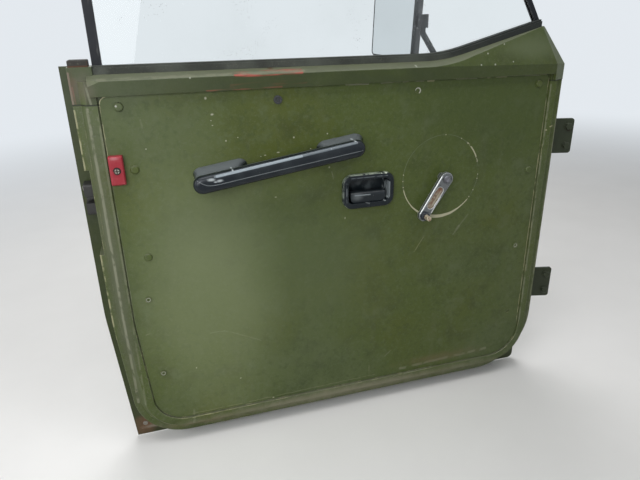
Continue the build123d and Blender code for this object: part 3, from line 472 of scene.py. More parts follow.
# Window glass, wound right up: 4 mm toughened glass with a faint green tint, a haze of dirt near
# the belt line and fine rain spots that have dried on it.
pane = Finish("pane_glass", (0.955, 0.98, 0.97), 0.012)
pane.shader.inputs["Transmission Weight"].default_value = 1.0
pane.shader.inputs["IOR"].default_value = 1.45
for drop_scale, drop_size, drop_low, drop_high in (
    (330.0, 0.17, 0.54, 0.66),
    (150.0, 0.13, 0.58, 0.70),
):
    drops = pane.add("ShaderNodeTexVoronoi", Vector=pane.where, Scale=drop_scale)
    drop_round = pane.span(drops.outputs["Distance"], drop_size, drop_size * 0.5)
    drop_patch = pane.patches(16.0, 3.0, drop_low, drop_high, shift=drop_size * 50)
    drop_mask = pane.both(drop_round, drop_patch)
    pane.sheen(0.2, drop_mask)
    pane.relief(drop_mask, 0.0003)
haze_pale = (0.84, 0.87, 0.85)
haze = pane.both(pane.patches(8.0, 4.0, 0.35, 0.8), pane.blotch((-400, 60), (420, 150), 0.3))
pane.coat(haze_pale, haze, 0.5)
pane.onto(cad["window_glass"])

# Belt weatherstrips: extruded rubber on the belt line, with a lip against each side of the glass.
# The inner one is dark grey from dust, with a painted highlight on its upward faces, and darker
# towards its front end.
strip_rubber = old_rubber("strip_rubber", (0.034, 0.037, 0.031), (0.090, 0.098, 0.082), 0.75)
strip_rubber.shader.inputs["Specular IOR Level"].default_value = 0.3
strip_top_highlight, strip_front_dark = (0.14, 0.15, 0.14), (0.014, 0.017, 0.016)
# Painted highlight on the strip's upward faces.
strip_rubber.coat(strip_top_highlight, strip_rubber.turned_to(up), 0.6)
strip_rubber.coat(strip_front_dark, strip_rubber.blotch((0, 60), (330, 200), 0.2, soft_fray), 0.85)
strip_rubber.onto(cad["belt_seal_inner"], cad["belt_seal_outer"])

# End block of the window frame: a moulded rubber buffer pressed onto the door's rear corner,
# browned by the rust of the rail below it.
block_rubber = old_rubber("block_rubber", (0.026, 0.024, 0.021), (0.058, 0.052, 0.043), 0.8)
block_rubber.shader.inputs["Specular IOR Level"].default_value = 0.3
block_browned, block_foot = (0.11, 0.05, 0.028), (0.09, 0.04, 0.022)
block_rubber.coat(block_browned, block_rubber.both(
    block_rubber.edges(0.002), block_rubber.patches(120.0, 4.0, 0.45, 0.6),
))
block_rubber.coat(block_foot, block_rubber.stroke((pan_rear, 42.5), (-806, 42.5), 2.2))
block_rubber.onto(cad["belt_end_block"])

# Trim panel: a flat painted steel sheet set into the pan's rim. The crank has scratched a circle
# into it, boots and bags have left pale marks, and its edge is chipped to the cream primer. Painted
# light makes its rear half and middle lighter, and painted shade makes its upper front darker.
trim_paint = army_paint("trim_paint", radius=0.001, dusty=0.24, chipped=0.6, wear=0.0015)
crank_axle, scar_radius = middle_of("crank_hub_screw"), 79.35
scar_faint, primer, pale_marks = (0.125, 0.145, 0.085), (0.50, 0.48, 0.33), (0.42, 0.42, 0.31)
scar_gap, scar_turn = trim_paint.ring(crank_axle, scar_radius, trim_paint.flat(0.0012))
faint_scar = trim_paint.span(scar_gap, 0.0008, 0.0003)
trim_paint.coat(scar_faint, trim_paint.both(faint_scar, trim_paint.patches(40.0, 4.0, 0.3, 0.5)))
deep_scar = trim_paint.between(scar_turn, -120.0, -68.0, 26.0)
scar_width = trim_paint.maths("MULTIPLY_ADD", deep_scar, 0.0028, 0.0010)
wide_scar = trim_paint.span(scar_gap, scar_width, trim_paint.both(scar_width, 0.7))
trim_paint.coat(primer, trim_paint.both(
    wide_scar, trim_paint.between(scar_turn, -166.0, -40.0, 2.0),
))
dashed = trim_paint.both(
    trim_paint.between(scar_turn, 14.0, 50.0, 2.0), trim_paint.patches(75.0, 4.0, 0.42, 0.5),
)
trim_paint.coat(primer, trim_paint.both(trim_paint.span(scar_gap, 0.0015, 0.0009), dashed))
for scar_place in (-170.0, -178.5, 172.6, -36.0, -25.0, -8.0, -2.0, 61.6, 87.0):
    nick = trim_paint.between(scar_turn, scar_place - 0.6, scar_place + 0.6, 0.5)
    trim_paint.coat(primer, trim_paint.both(trim_paint.span(scar_gap, 0.0013, 0.0006), nick))
specked(trim_paint, pale_marks, (
    (-642.2, -10.5, 2.6, 3.2), (-634.2, -36.4, 3.6, 2.4), (-636.9, -45.8, 1.4, 1.4),
    (-635.1, -53.7, 2.0, 1.2), (-615.4, -80.0, 2.0, 2.2), (-741.7, -83.5, 1.6, 1.6),
    (-501.0, -83.0, 2.0, 2.4), (-529.1, -106.3, 3.8, 1.5), (-551.8, -109.3, 2.8, 1.5),
    (-559.3, -110.8, 1.5, 1.2), (-441.2, -81.0, 1.8, 1.8), (-438.5, -140.4, 2.0, 2.4),
    (-537.2, -184.8, 3.0, 1.6), (-595.7, -76.0, 1.3, 1.3), (-471.9, -104.5, 1.8, 1.5),
    (-409.0, -238.9, 1.8, 3.2), (-705.2, -502.2, 1.8, 2.2), (-624.4, -543.9, 2.4, 1.4),
    (-562.3, -605.1, 3.0, 2.0),
), 0.5)
lined(trim_paint, (
    ((0, -6), (0, -545), 1.9, chip_cream, 0.95),
    ((panel_rear, -14), (panel_rear, -120), 1.6, chip_cream, 0.8),
    ((panel_rear, -120), (panel_rear, -570), 1.2, pale_grey_green, 0.5),
    ((-407, -1), (-367, -1), 2.0, pale_grey_green, 0.9),
    ((-343, -1), (-308, -1), 1.6, pale_grey_green, 0.6),
    ((-302, -1), (-262, -1), 1.6, pale_grey_green, 0.7),
    ((-254, -1.2), (-243, -1.2), 2.4, chip_cream, 1.0),
    ((-198, -1), (-156, -1), 1.6, pale_grey_green, 0.8),
    ((-133, -1), (-95, -1), 2.0, chip_cream, 0.7),
    ((-54, -1), (-21, -1), 1.6, pale_grey_green, 0.7),
))
corner_gap, corner_turn = trim_paint.ring((-788, -12), 11.5)
trim_paint.coat(chip_cream, trim_paint.both(
    trim_paint.span(corner_gap, 0.0011, 0.0006), trim_paint.between(corner_turn, 98.0, 176.0, 4.0),
))
lined(trim_paint, (
    ((-242, -294), (-264, -328), 1.3, chip_cream, 0.3),
    ((-168, -284), (-180, -300), 3.5, pale_grey_green, 0.35),
    ((-150, -262), (-168, -284), 2.2, pale_grey_green, 0.25),
    ((-356, -570), (-355, -601), 1.4, chip_cream, 0.2),
    ((-723, -604), (-342, -600), 1.2, chip_cream, 0.2),
    ((-673, -433), (-647, -433), 1.4, pale_grey_green, 0.35),
    ((-647, -433), (-614, -449), 1.4, pale_grey_green, 0.3),
    ((-614, -449), (-580, -467), 1.4, pale_grey_green, 0.25),
    ((-785, -415), (-762, -409), 1.4, pale_grey_green, 0.35),
    ((-322, -559), (-307, -547), 1.4, pale_grey_green, 0.35),
    ((-719, -588), (-720, -606), 3.0, pale_grey_green, 0.3),
    ((-283, -598), (-75, -590), 4.0, pale_grey_green, 0.45),
    ((-434, -149), (-432, -162), 1.2, pale_grey_green, 0.5),
    ((-744, -38), (-743, -50), 2.0, pale_grey_green, 0.3),
), wobble=0.005)
boot_dirt, painted_light_film = (0.15, 0.115, 0.06), (0.072, 0.078, 0.047)
trim_paint.coat(boot_dirt, trim_paint.blotch((-185, -588), (150, 16), 0.9), 0.5)
# Painted light and shade: lighter patches at the rear and middle, a darker one at the upper front.
for shading_tone, shading_place, shading_size, shading_ragged, shading_strength, shading_blend in (
    (paint_faded, (-690, -260), (150, 330), 0.6, 0.45, "MIX"),
    (paint_faded, (-500, -330), (300, 270), 0.6, 0.6, "MIX"),
    (painted_light_film, (-672, -375), (170, 360), 0.3, 1.0, "ADD"),
    (paint_dark, (-110, -50), (270, 150), 0.6, 0.5, "MIX"),
):
    painted_shading = trim_paint.blotch(shading_place, shading_size, shading_ragged, soft_fray)
    trim_paint.coat(shading_tone, painted_shading, shading_strength, shading_blend)
hole_rim = (0.5, 0.5, 0.42)
hole_gap, hole_turn = trim_paint.ring((-272.5, -17.5), 4.6)
trim_paint.coat(hole_rim, trim_paint.both(
    trim_paint.span(hole_gap, 0.0013, 0.0007), trim_paint.between(hole_turn, -60.0, 175.0, 8.0),
))
trim_paint.onto(cad["trim_panel"])

# Plugs and screws of the trim panel: domed plastic plugs and ring-headed screws, painted over
# with the panel, and one black rubber plug at the top edge.
plug_paint = army_paint("plug_paint", radius=0.0008, dusty=0.4, chipped=0.8, wear=0.0012)
plug_highlight, screw_ring_highlight = (0.5, 0.5, 0.45), (0.30, 0.31, 0.24)
# Painted highlight on the upper rear plug.
specked(plug_paint, plug_highlight, ((-776.6, -15.0, 2.2, 2.2),), 0.3)
plug_paint.onto(cad["trim_plugs"])
screw_paint = army_paint("screw_paint", radius=0.0004, dusty=0.2, chipped=1.0, wear=0.0008)
# Painted highlights round the rings of three screw heads.
for screw_place in ((-772, -346), (-765, -500), (-30, -345)):
    screw_gap = screw_paint.ring(screw_place, 3.4)[0]
    screw_paint.coat(screw_ring_highlight, screw_paint.span(screw_gap, 0.0013, 0.0006), 0.75)
screw_paint.onto(cad["trim_screws"])
old_rubber("plug_rubber").onto(cad["top_plug"])

# Reflector: a moulded red plastic block held to the trim panel by one brass screw, dulled by
# dust and scuffed pale along its edges.
reflector_red = Finish("reflector_red", (0.33, 0.028, 0.04), 0.34)
reflector_red.shader.inputs["Specular IOR Level"].default_value = 0.25
reflector_red.rounded(0.0014)
red_dulled, red_edge, red_scuffed = (0.40, 0.09, 0.10), (0.50, 0.16, 0.17), (0.55, 0.22, 0.23)
red_shade = (0.03, 0.012, 0.012)
reflector_red.coat(red_dulled, reflector_red.patches(60.0, 4.0, 0.45, 0.7), 0.5)
reflector_red.coat(red_edge, reflector_red.edges(0.002), 0.35)
reflector_red.coat(red_scuffed, reflector_red.blotch((-791, -93), (10, 3.5), 0.4), 0.7)
reflector_screw_x, reflector_screw_z = middle_of("reflector_screw")
screw_gap, screw_turn = reflector_red.ring((reflector_screw_x, reflector_screw_z), 5.0)
# Painted shadow round the screw head on the reflector.
reflector_red.coat(red_shade, reflector_red.both(
    reflector_red.span(screw_gap, 0.0014, 0.0007), reflector_red.span(screw_turn, -220.0, -90.0),
))
reflector_red.sheen(0.55, reflector_red.cloud(90.0, 4.0))
reflector_red.relief(reflector_red.cloud(800.0, 2.0), 0.00008)
reflector_red.onto(cad["reflector"])


def bare_metal(name, tone, roughness, metallic=0.85, grime=(0.06, 0.05, 0.04), dirty=0.7):
    """Worn bare metal with patches of dark grime and fine scratches."""
    metal = Finish(name, tone, roughness, metallic)
    metal.rounded(0.0006)
    metal.coat(grime, metal.patches(130.0, 5.0, 0.5, 0.72), dirty)
    lines = metal.patches(300.0, 3.0, 0.55, 0.7, stretch=(4, 4, 0.3))
    metal.sheen(roughness + 0.25, lines)
    metal.relief(metal.cloud(600.0), 0.0001)
    return metal


screw_brass = bare_metal("screw_brass", (0.42, 0.40, 0.33), 0.35, 0.6)
screw_rim, slot_shade = (0.05, 0.045, 0.035), (0.03, 0.025, 0.02)
rim_gap = screw_brass.ring((reflector_screw_x, reflector_screw_z), 4.4)[0]
screw_brass.coat(screw_rim, screw_brass.span(rim_gap, 0.0011, 0.0006))
# The cross recess is painted as a dark cross of shade.
for slot_x, slot_z in ((3, 0), (0, 3)):
    screw_brass.coat(slot_shade, screw_brass.stroke(
        (reflector_screw_x - slot_x, reflector_screw_z - slot_z),
        (reflector_screw_x + slot_x, reflector_screw_z + slot_z), 1.0,
    ))
screw_brass.onto(cad["reflector_screw"])

# Pull handle: a bar of black plastic moulded over a steel core, with domed feet. Hands have
# polished the grip and greyed its upper edge, whose pale line is also a painted highlight, and have
# scuffed its ends, which carry painted highlights too. Dust and painted top light lie on its feet,
# and the mould's parting line stands as a fine bead along its lower side, pale grey as a painted
# highlight.


def worn_plastic(name, tone=(0.013, 0.017, 0.020), roughness=0.3, dusty=0.5, radius=0.0012):
    """Black moulded plastic with grey dust and scuffs."""
    plastic = Finish(name, tone, roughness)
    plastic.rounded(radius)
    plastic.coat((0.055, 0.066, 0.072), plastic.patches(28.0, 5.0, 0.42, 0.7), dusty)
    plastic.coat((0.24, 0.26, 0.26), plastic.patches(420.0, 2.0, 0.68, 0.76, shift=2.0), dusty)
    plastic.sheen(0.55, plastic.cloud(30.0, 4.0), dusty)
    plastic.relief(plastic.cloud(1000.0, 2.0), 0.00005)
    return plastic


def stand_piece(name, shape, body):
    """Makes a piece of a shape, and says what it rides on."""
    mesh = bpy.data.meshes.new(name)
    shape.to_mesh(mesh)
    shape.free()
    piece = bpy.data.objects.new(name, mesh)
    bpy.context.scene.collection.objects.link(piece)
    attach(piece, body)
    return piece


handle_core = bpy.data.objects.new("handle_core", cad["pull_handle"].data.copy())
bpy.context.scene.collection.objects.link(handle_core)
handle_grid = handle_core.modifiers.new("handle_grid", "REMESH")
handle_grid.mode = "VOXEL"
handle_grid.voxel_size = 0.0014
handle_skin = bpy.data.meshes.new_from_object(
    handle_core.evaluated_get(bpy.context.evaluated_depsgraph_get()),
)
bpy.data.objects.remove(handle_core)
moulding = bmesh.new()
moulding.from_mesh(handle_skin)
for face in moulding.faces:
    face.smooth = True

# On the bar's upper side the feet rise to a dome towards the bar and tuck in at the panel.
foot_depth, foot_half, foot_dome, foot_tuck = 0.030, 0.018, 0.009, 0.0035
bar_start, bar_height, bar_slope = -0.640, -0.134, 0.145
for vertex in moulding.verts:
    standing = (panel_low[1] - vertex.co.y) / foot_depth
    along_bar = vertex.co.x - panel_high[0] - bar_start
    bar_middle = panel_high[2] + bar_height + bar_slope * along_bar
    if standing < 1:
        upper_share = min(max((vertex.co.z - bar_middle) / foot_half, 0), 1)
        rise = foot_dome * standing - foot_tuck
        vertex.co.z += upper_share * (1 - standing) * rise

# The first rounds soften the whole handle above its seat, and the others only its feet.
foot_seat, whole_handle = 0.0016, 1.0
handle_rounds, foot_rounds = 6, 54
for softened_reach in [whole_handle] * handle_rounds + [foot_depth] * foot_rounds:
    softened = [
        vertex for vertex in moulding.verts
        if foot_seat < panel_low[1] - vertex.co.y < softened_reach
    ]
    bmesh.ops.smooth_vert(
        moulding, verts=softened, factor=0.5, use_axis_x=True, use_axis_y=True, use_axis_z=True,
    )

# The grip's face gives way by as much as the bead stands proud of it.
bead_proud, face_depth = 0.0006, 0.006
handle_front = min(vertex.co.y for vertex in moulding.verts)
for vertex in moulding.verts:
    vertex.co.y += bead_proud * max(0.0, 1.0 - (vertex.co.y - handle_front) / face_depth)
handle_form = stand_piece("handle_moulding", moulding, "door")
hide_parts("pull_handle")

handle_plastic = worn_plastic("handle_plastic", (0.009, 0.013, 0.017), 0.2, 0.2, 0.0015)
handle_plastic.shader.inputs["Specular IOR Level"].default_value = 0.3
foot_dust_and_light, scuffs_and_highlights = (0.13, 0.145, 0.15), (0.52, 0.56, 0.57)
grip_wear_and_highlight = (0.40, 0.46, 0.50)
# Dust and painted top light on the feet, paler on the faces turned upwards.
foot_tops = handle_plastic.turned_to((-0.05, -0.12, 0.99), 0.3, 0.99)
behind_bar = handle_plastic.span(
    handle_plastic.add("ShaderNodeSeparateXYZ", Vector=handle_plastic.where).outputs["Y"],
    panel_low[1] - foot_depth - 0.010, panel_low[1] - foot_depth,
)
feet_dust_and_light = handle_plastic.both(foot_tops, behind_bar)
handle_plastic.coat(foot_dust_and_light, feet_dust_and_light, 0.9)
handle_plastic.sheen(0.6, feet_dust_and_light)
# Pale specks at the bar's ends: scuffs and painted highlights.
specked(handle_plastic, scuffs_and_highlights, (
    (-649.5, -130.5, 9.0, 3.6), (-636.0, -133.2, 7.5, 3.0), (-643.0, -134.6, 4.0, 2.0),
    (-614.4, -119.0, 2.2, 1.6), (-405.6, -88.6, 3.2, 1.4), (-449.0, -97.5, 1.8, 1.2),
), 0.6, strength=0.85, grain=200.0)
on_bar = handle_plastic.rest(behind_bar)
# The pale grey line along the bar's upper edge is rubbed plastic and a painted highlight.
for line_start, line_end, line_strength in (
    ((-643, -126.5), (-404, -90.6), 0.35),
    ((-640, -126.1), (-500, -105.2), 0.65),
):
    grip_line = handle_plastic.both(handle_plastic.stroke(line_start, line_end, 2.6), on_bar)
    handle_plastic.coat(grip_wear_and_highlight, grip_line, line_strength)
handle_plastic.onto(cad["pull_handle"], handle_form)

bead = bpy.data.curves.new("handle_parting_line", "CURVE")
bead.dimensions = "3D"
bead.bevel_depth = 0.0007
bead.bevel_resolution = 2
bead_run = bead.splines.new("POLY")
bead_places = (
    (-671.0, -130.5), (-667.0, -133.6), (-662.0, -136.8), (-656.4, -139.2),
    (-651.0, -140.0), (-644.7, -139.9), (-632.8, -138.6), (-602.0, -134.0),
    (-572.1, -129.6), (-540.0, -125.2), (-509.6, -121.0), (-477.0, -116.4),
    (-445.0, -111.9), (-420.0, -108.4), (-405.0, -106.3), (-393.0, -104.6),
)
bead_run.points.add(len(bead_places) - 1)
handle_shape = BVHTree.FromPolygons(
    [vertex.co for vertex in handle_form.data.vertices],
    [face.vertices for face in handle_form.data.polygons],
)
before_handle, outward, bead_sunk = -200, Vector((0, 1, 0)), 0.0002
for point, (bead_x, bead_z) in zip(bead_run.points, bead_places):
    place = handle_shape.ray_cast(on_door(bead_x, bead_z, before_handle), outward)[0]
    point.co = (place.x, place.y + bead_sunk, place.z, 1)
bead_line = bpy.data.objects.new("handle_parting_line", bead)
bead_form = bmesh.new()
bead_form.from_mesh(bpy.data.meshes.new_from_object(bead_line))
handle_bead = stand_piece("handle_parting_bead", bead_form, "door")
# The bead is pale grey, a painted highlight along the parting line.
worn_plastic("bead_plastic", (0.12, 0.135, 0.14), 0.35, 0.4, 0.0003).onto(handle_bead)

# Release recess: a black plastic bezel and pocket with the sheet-steel release lever inside.
# Fingers have worn its rim pale in places, and painted highlights lie along it too. Dust lies in
# the pocket, and the lever has a pale patch and a pale line along its upper edge.
bezel_plastic = worn_plastic("bezel_plastic", (0.007, 0.011, 0.014), 0.26, 0.12, 0.0016)
bezel_plastic.shader.inputs["Specular IOR Level"].default_value = 0.3
pocket_dust = (0.075, 0.088, 0.092)
in_pocket = bezel_plastic.blotch((-365.5, -189.5), (34, 20), 0.1)
bezel_plastic.coat(pocket_dust, bezel_plastic.both(
    in_pocket, bezel_plastic.patches(70.0, 4.0, 0.35, 0.7, shift=2.0),
))
# Pale lines along the rim: worn plastic and painted highlights.
rim_break = bezel_plastic.patches(80.0, 4.0, 0.35, 0.55)
for rim_start, rim_end, rim_width, rim_wear_and_highlight, rim_strength in (
    ((-404, -157.4), (-326, -157.2), 1.6, (0.40, 0.46, 0.36), 0.8),
    ((-412, -163.5), (-404, -157.6), 1.4, (0.26, 0.30, 0.24), 0.9),
    ((-414.6, -171), (-412, -163.5), 1.4, (0.26, 0.30, 0.24), 0.9),
    ((-412, -213), (-406, -219), 1.2, (0.20, 0.24, 0.18), 0.8),
    ((-341, -157.2), (-332, -157.4), 2.4, (0.62, 0.68, 0.55), 1.0),
    ((-414.6, -170), (-414.6, -208), 1.4, (0.22, 0.25, 0.21), 0.8),
    ((-408.6, -172), (-408.6, -207), 1.6, (0.17, 0.19, 0.20), 0.8),
    ((-400, -163.0), (-330, -163.0), 1.2, (0.15, 0.17, 0.18), 0.8),
    ((-325.5, -176), (-325.5, -206), 1.8, (0.26, 0.29, 0.30), 0.8),
    ((-334.5, -211), (-327, -205.5), 1.8, (0.38, 0.42, 0.42), 0.9),
    ((-371, -210), (-365, -213), 1.6, (0.30, 0.33, 0.33), 0.7),
):
    rim = bezel_plastic.stroke(rim_start, rim_end, rim_width)
    bezel_plastic.coat(rim_wear_and_highlight, bezel_plastic.both(rim, rim_break), rim_strength)
bezel_plastic.onto(cad["release_bezel"])
lever_paint = worn_plastic("lever_paint", (0.012, 0.016, 0.019), 0.32, 0.3)
lever_paint.shader.inputs["Specular IOR Level"].default_value = 0.3
lever_pale_patch, lever_pale_edge = (0.15, 0.165, 0.17), (0.26, 0.29, 0.30)
# A pale patch on the lever's left and a pale line along its upper edge.
lever_paint.coat(lever_pale_patch, lever_paint.blotch((-386, -200), (16, 10), 0.5), 0.75)
lever_paint.coat(lever_pale_edge, lever_paint.stroke((-391, -196.6), (-362, -197.2), 1.6), 0.8)
lever_paint.onto(cad["release_lever"])

# Window crank: a cast aluminium arm on a splined spindle, its edges worn bright and its two rims
# lit by painted highlights, with a brown insert. Its knob has come off and left the dark base and
# the bare pin.
crank_metal = bare_metal("crank_metal", (0.19, 0.20, 0.205), 0.3, 0.75, (0.035, 0.04, 0.042), 0.95)
bright_wear_and_highlight = (0.92, 0.94, 0.92)
crank_metal.coat(bright_wear_and_highlight, crank_metal.both(
    crank_metal.edges(0.0042, 0.02, 0.22), crank_metal.patches(90.0, 3.0, 0.28, 0.42),
))
# Painted highlights along the arm's two rims.
for rim_start, rim_end, rim_strength in (
    ((-225.1, -172.5), (-265.9, -240.2), 0.9),
    ((-226.5, -212.0), (-243.3, -240.6), 0.7),
):
    crank_metal.coat(bright_wear_and_highlight, crank_metal.stroke(rim_start, rim_end, 1.5), rim_strength)
crank_metal.onto(cad["crank_arm"])
hub_metal = bare_metal("hub_metal", (0.22, 0.22, 0.24), 0.3, 0.8, (0.05, 0.045, 0.05), 0.8)
hub_metal.onto(cad["crank_hub_screw"])
insert_brown = Finish("insert_brown", (0.20, 0.13, 0.085), 0.65)
insert_faded, insert_rust, insert_worn = (0.33, 0.29, 0.22), (0.17, 0.06, 0.03), (0.42, 0.40, 0.30)
insert_brown.coat(insert_faded, insert_brown.patches(180.0, 4.0, 0.42, 0.62))
insert_brown.coat(insert_rust, insert_brown.blotch((-228, -199), (7, 8), 0.6, 200.0), 0.8)
insert_brown.coat(insert_worn, insert_brown.stroke((-226, -201), (-243, -228), 2.2), 0.6)
insert_brown.relief(insert_brown.cloud(500.0), 0.0002)
insert_brown.onto(cad["crank_insert"])
worn_plastic("knob_base_plastic", (0.018, 0.021, 0.030), 0.35, 0.5).onto(cad["crank_knob_base"])
pin_rust = Finish("pin_rust", (0.52, 0.45, 0.33), 0.5, 0.3)
pin_rust.rounded(0.0008)
pin_rust.coat(rust_brown, pin_rust.patches(300.0, 4.0, 0.52, 0.66), 0.8)
specked(pin_rust, (0.24, 0.10, 0.05), ((-257, -247, 3, 2.5),), 0.5, 0.8)
pin_rust.relief(pin_rust.cloud(700.0), 0.0002)
pin_rust.onto(cad["crank_knob_pin"])

# Latch: a plated steel case with a turning claw, greased and dirty, held to the door's rear face
# by three screws with a hexagon socket.
latch_steel = bare_metal("latch_steel", (0.026, 0.025, 0.023), 0.5, 0.3, (0.02, 0.018, 0.016))
latch_steel.onto(cad["latch_case"], cad["latch_claw"])


def turn_into(shape, profile, place, way, sides):
    """Adds a turned form to a shape, from its (radius, height) steps in millimetres."""
    stand = Matrix.Translation(place) @ Vector(way).to_track_quat("Z", "Y").to_matrix().to_4x4()
    rings = []
    for radius, height in profile:
        ring = []
        for step in range(sides):
            turn = 2 * pi * step / sides
            spot = Vector((radius * cos(turn), radius * sin(turn), height)) / 1000
            ring.append(shape.verts.new(stand @ spot))
        rings.append(ring)
    for lower, upper in zip(rings, rings[1:]):
        for step in range(sides):
            following = (step + 1) % sides
            shape.faces.new((lower[step], lower[following], upper[following], upper[step]))
    shape.faces.new(list(reversed(rings[0])))
    shape.faces.new(rings[-1])


rearward = (-1, 0, 0)
socket_head = ((4.4, 0), (4.4, 0.4), (3.4, 1.1), (1.9, 1.2), (1.9, 0.3))
latch_face, latch_middle = outline_of("latch_case")[0], middle_of("latch_case")[1]
socket_screws = bmesh.new()
for screw_depth, screw_rise in ((20.0, 19.0), (38.0, 19.0), (38.0, -19.0)):
    screw_place = on_door(latch_face, latch_middle + screw_rise, screw_depth)
    turn_into(socket_screws, socket_head, screw_place, rearward, sides=24)
latch_screws = stand_piece("latch_screws", socket_screws, "door")
bare_metal("latch_screw_zinc", (0.3, 0.29, 0.26), 0.4).onto(latch_screws)

# Outer handle: a black plastic grip screwed with its plate to the skin, with a chromed push
# button and lock cylinder.
outer_plastic = worn_plastic("outer_handle_plastic", roughness=0.32, dusty=0.4)
outer_plastic.onto(cad["outer_handle_plate"], cad["outer_handle_grip"])
button_chrome = bare_metal("button_chrome", (0.55, 0.55, 0.54), 0.2)
button_chrome.onto(cad["push_button"], cad["lock_cylinder"])

# Outer mirror: a black plastic housing on a bent steel arm, clamped above a bracket that two
# hexagon screws hold to the skin.
worn_plastic("mirror_plastic", roughness=0.4, dusty=0.5).onto(cad["mirror_housing"])
mirror_silver = Finish("mirror_silver", (0.75, 0.78, 0.79), 0.06, 1.0)
mirror_silver.sheen(0.35, mirror_silver.patches(60.0, 4.0, 0.5, 0.75), 0.6)
mirror_silver.relief(mirror_silver.cloud(300.0, 2.0), 0.00002)
mirror_silver.onto(cad["mirror_glass"])
worn_plastic("arm_black", roughness=0.36, dusty=0.4).onto(cad["mirror_arm"], cad["mirror_clamp"])
bracket_paint = army_paint("bracket_paint", radius=0.001, dusty=0.3, chipped=0.8)
bracket_low, bracket_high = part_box("mirror_bracket")
bracket_middle = (Vector(bracket_low) + Vector(bracket_high)) / 2
bracket_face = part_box("mirror_arm")[0][1]
small_washer, small_head = ((6.2, 0), (6.2, 1.1)), ((5.6, 1.1), (5.6, 4.4), (4.8, 5.0))
screw_reach = 0.0185
hexagon_screws = bmesh.new()
for screw_rise in (-screw_reach, screw_reach):
    screw_place = Vector((bracket_middle.x, bracket_face, bracket_middle.z + screw_rise))
    turn_into(hexagon_screws, small_washer, screw_place, outward, sides=32)
    turn_into(hexagon_screws, small_head, screw_place, outward, sides=6)
bracket_screws = stand_piece("bracket_screws", hexagon_screws, "door")
bracket_paint.onto(cad["mirror_bracket"], bracket_screws)

# Hinges: pressed steel leaves with lift-off pins, bolted to the door and to the body pillar, and
# painted over with the car, with painted shade darkening their paint. The pillar's bolts have
# hexagon heads on plain washers.
hinge_paint = army_paint("hinge_paint", radius=0.001, dusty=0.3, chipped=0.6, rusty=0.25)
hinge_painted_shade = (0.026, 0.032, 0.021)
# Painted shade darkens the hinge paint almost all over.
hinge_paint.coat(hinge_painted_shade, hinge_paint.patches(14.0, 4.0, 0.0, 0.4), 0.85)
leaf_sheet = 0.0045
bolt_washer = ((8.0, 0), (8.0, 1.2), (7.4, 1.6))
bolt_head = ((7.3, 1.6), (7.3, 5.9), (6.3, 6.6))
mounts = {mount["name"]: mount for mount in frame["record"]["mounts"]}
bolts = bmesh.new()
for mount_name in ("upper_hinge_bolts", "lower_hinge_bolts"):
    mount = mounts[mount_name]
    cabin_way = -Vector(mount["axis"])
    reach = mount["dims"]["pcd_mm"] / 2000
    for bolt_rise in (-reach, reach):
        bolt_place = Vector(mount["pos_m"]) + cabin_way * leaf_sheet + Vector((0, 0, bolt_rise))
        turn_into(bolts, bolt_washer, bolt_place, cabin_way, sides=32)
        turn_into(bolts, bolt_head, bolt_place, cabin_way, sides=6)
pillar_bolts = stand_piece("pillar_bolts", bolts, "pillar_leaves")
hinge_paint.onto(
    cad["hinge_upper_pillar_leaf"], cad["hinge_lower_pillar_leaf"], pillar_bolts,
    cad["hinge_upper_door_leaf"], cad["hinge_lower_door_leaf"], cad["hinge_bolts"],
)

# Studio: a pale floor that fades into the backdrop, four soft lamps before, above, left of and
# behind the door, and the camera where the photograph was taken from. The air lights the door
# from one side more than from the other, as open shade does.
backdrop_tone, backdrop_level = (0.90, 0.95, 1.0, 1), 0.86
floor_gap, floor_reach = 0.002, 12
fade_start, fade_end = 1.2, 4.2
floor_level = cad_box[0][2] - floor_gap
floor_mesh = bpy.data.meshes.new("studio_floor")
floor_mesh.from_pydata([
    (x * floor_reach, y * floor_reach, floor_level) for x, y in ((-1, -1), (1, -1), (1, 1), (-1, 1))
], [], [(0, 1, 2, 3)])
floor = bpy.data.objects.new("studio_floor", floor_mesh)
bpy.context.scene.collection.objects.link(floor)
floor_pale, floor_cloudy = (0.82, 0.81, 0.79), (0.76, 0.75, 0.73)
floor_finish = Finish("floor_finish", (0.37, 0.36, 0.34), 0.9)
watched = floor_finish.watching()
floor_finish.coat(floor_pale, watched)
floor_finish.coat(floor_cloudy, floor_finish.both(floor_finish.cloud(6.0, 4.0), watched))
floor_finish.onto(floor)
glow = floor_finish.add("ShaderNodeEmission", Color=backdrop_tone, Strength=backdrop_level)
from_middle = floor_finish.vector("LENGTH", floor_finish.where).outputs["Value"]
floor_fade = floor_finish.both(floor_finish.span(from_middle, fade_start, fade_end), watched)
blend = floor_finish.add(
    "ShaderNodeMixShader", _0=floor_fade, _1=floor_finish.shader.outputs[0], _2=glow.outputs[0],
)
floor_finish.feed(floor_finish.tree.nodes["Material Output"].inputs["Surface"], blend.outputs[0])

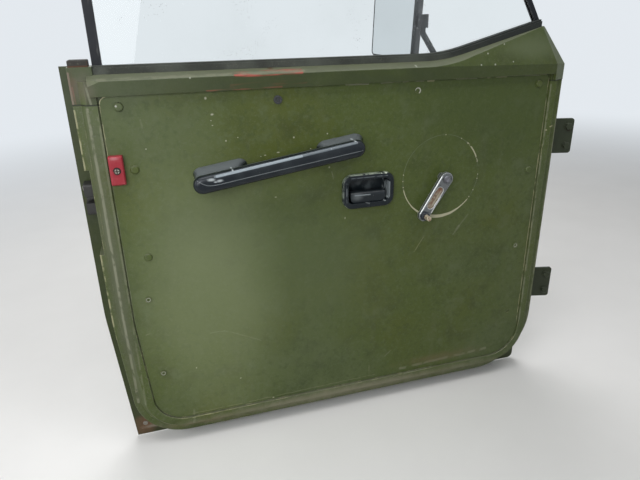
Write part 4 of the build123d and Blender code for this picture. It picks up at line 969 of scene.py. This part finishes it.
shaded_way, shade_start, shade_end = (0.8, -0.6, 0), -0.1, 0.9
open_level, shaded_level = 0.18, 0.03
world = bpy.data.worlds.new("studio_air")
bpy.context.scene.world = world
world.use_nodes = True
air = Bench(world.node_tree)
compass = air.add("ShaderNodeTexCoord").outputs["Generated"]
shaded_side = air.vector("DOT_PRODUCT", compass, shaded_way).outputs["Value"]
shade = air.add(
    "ShaderNodeMapRange", _0=shaded_side,
    _1=shade_start, _2=shade_end, _3=open_level, _4=shaded_level,
)
level = air.add("ShaderNodeMix", Factor=air.watching(), _2=shade.outputs[0], _3=backdrop_level)
backdrop = air.tree.nodes["Background"]
backdrop.inputs["Color"].default_value = backdrop_tone
air.feed(backdrop.inputs["Strength"], level.outputs[0])


def soft_lamp(name, place, aim, size, watts, tint=(1, 1, 1), spread=pi):
    """A lamp panel of a width and a height that faces its aim and doesn't show itself."""
    lamp = bpy.data.lights.new(name, "AREA")
    lamp.spread = spread
    lamp.shape = "RECTANGLE"
    lamp.energy = watts
    lamp.size, lamp.size_y = size
    lamp.color = tint
    stand = bpy.data.objects.new(name, lamp)
    stand.location = place
    stand.rotation_euler = (Vector(aim) - Vector(place)).to_track_quat("-Z", "Y").to_euler()
    stand.visible_camera = stand.visible_transmission = False
    bpy.context.scene.collection.objects.link(stand)


soft_lamp(
    "lamp_before", (-1.25, -1.15, 0.3), (-0.55, 0, -0.35), (1.0, 0.8), 6.0,
    tint=(0.96, 0.98, 1.0), spread=2.2,
)
soft_lamp("lamp_above", (-0.6, -0.9, 2.2), (-0.5, 0, -0.1), (3.0, 0.8), 32.0)
soft_lamp("lamp_left", (-3.0, -0.3, 0.9), (-0.5, 0, -0.1), (1.6, 1.6), 14.0)
soft_lamp("lamp_back", (-0.4, 1.7, 2.1), (-0.5, 0, 0), (2.0, 2.0), 42.0)

lens = bpy.data.cameras.new("camera")
lens.lens = 30.585
lens.sensor_width = 36
camera_place = (-0.83216, -0.94873, 0.2324)
camera_tilt, camera_roll, camera_heading = 68.11608, 0.97485, -17.09183
camera = bpy.data.objects.new("camera", lens)
camera_turn = Euler((radians(camera_tilt), radians(camera_roll), radians(camera_heading)))
camera.matrix_world = Matrix.Translation(camera_place) @ camera_turn.to_matrix().to_4x4()
bpy.context.scene.collection.objects.link(camera)
bpy.context.scene.camera = camera
bpy.context.scene.view_settings.view_transform = "Standard"
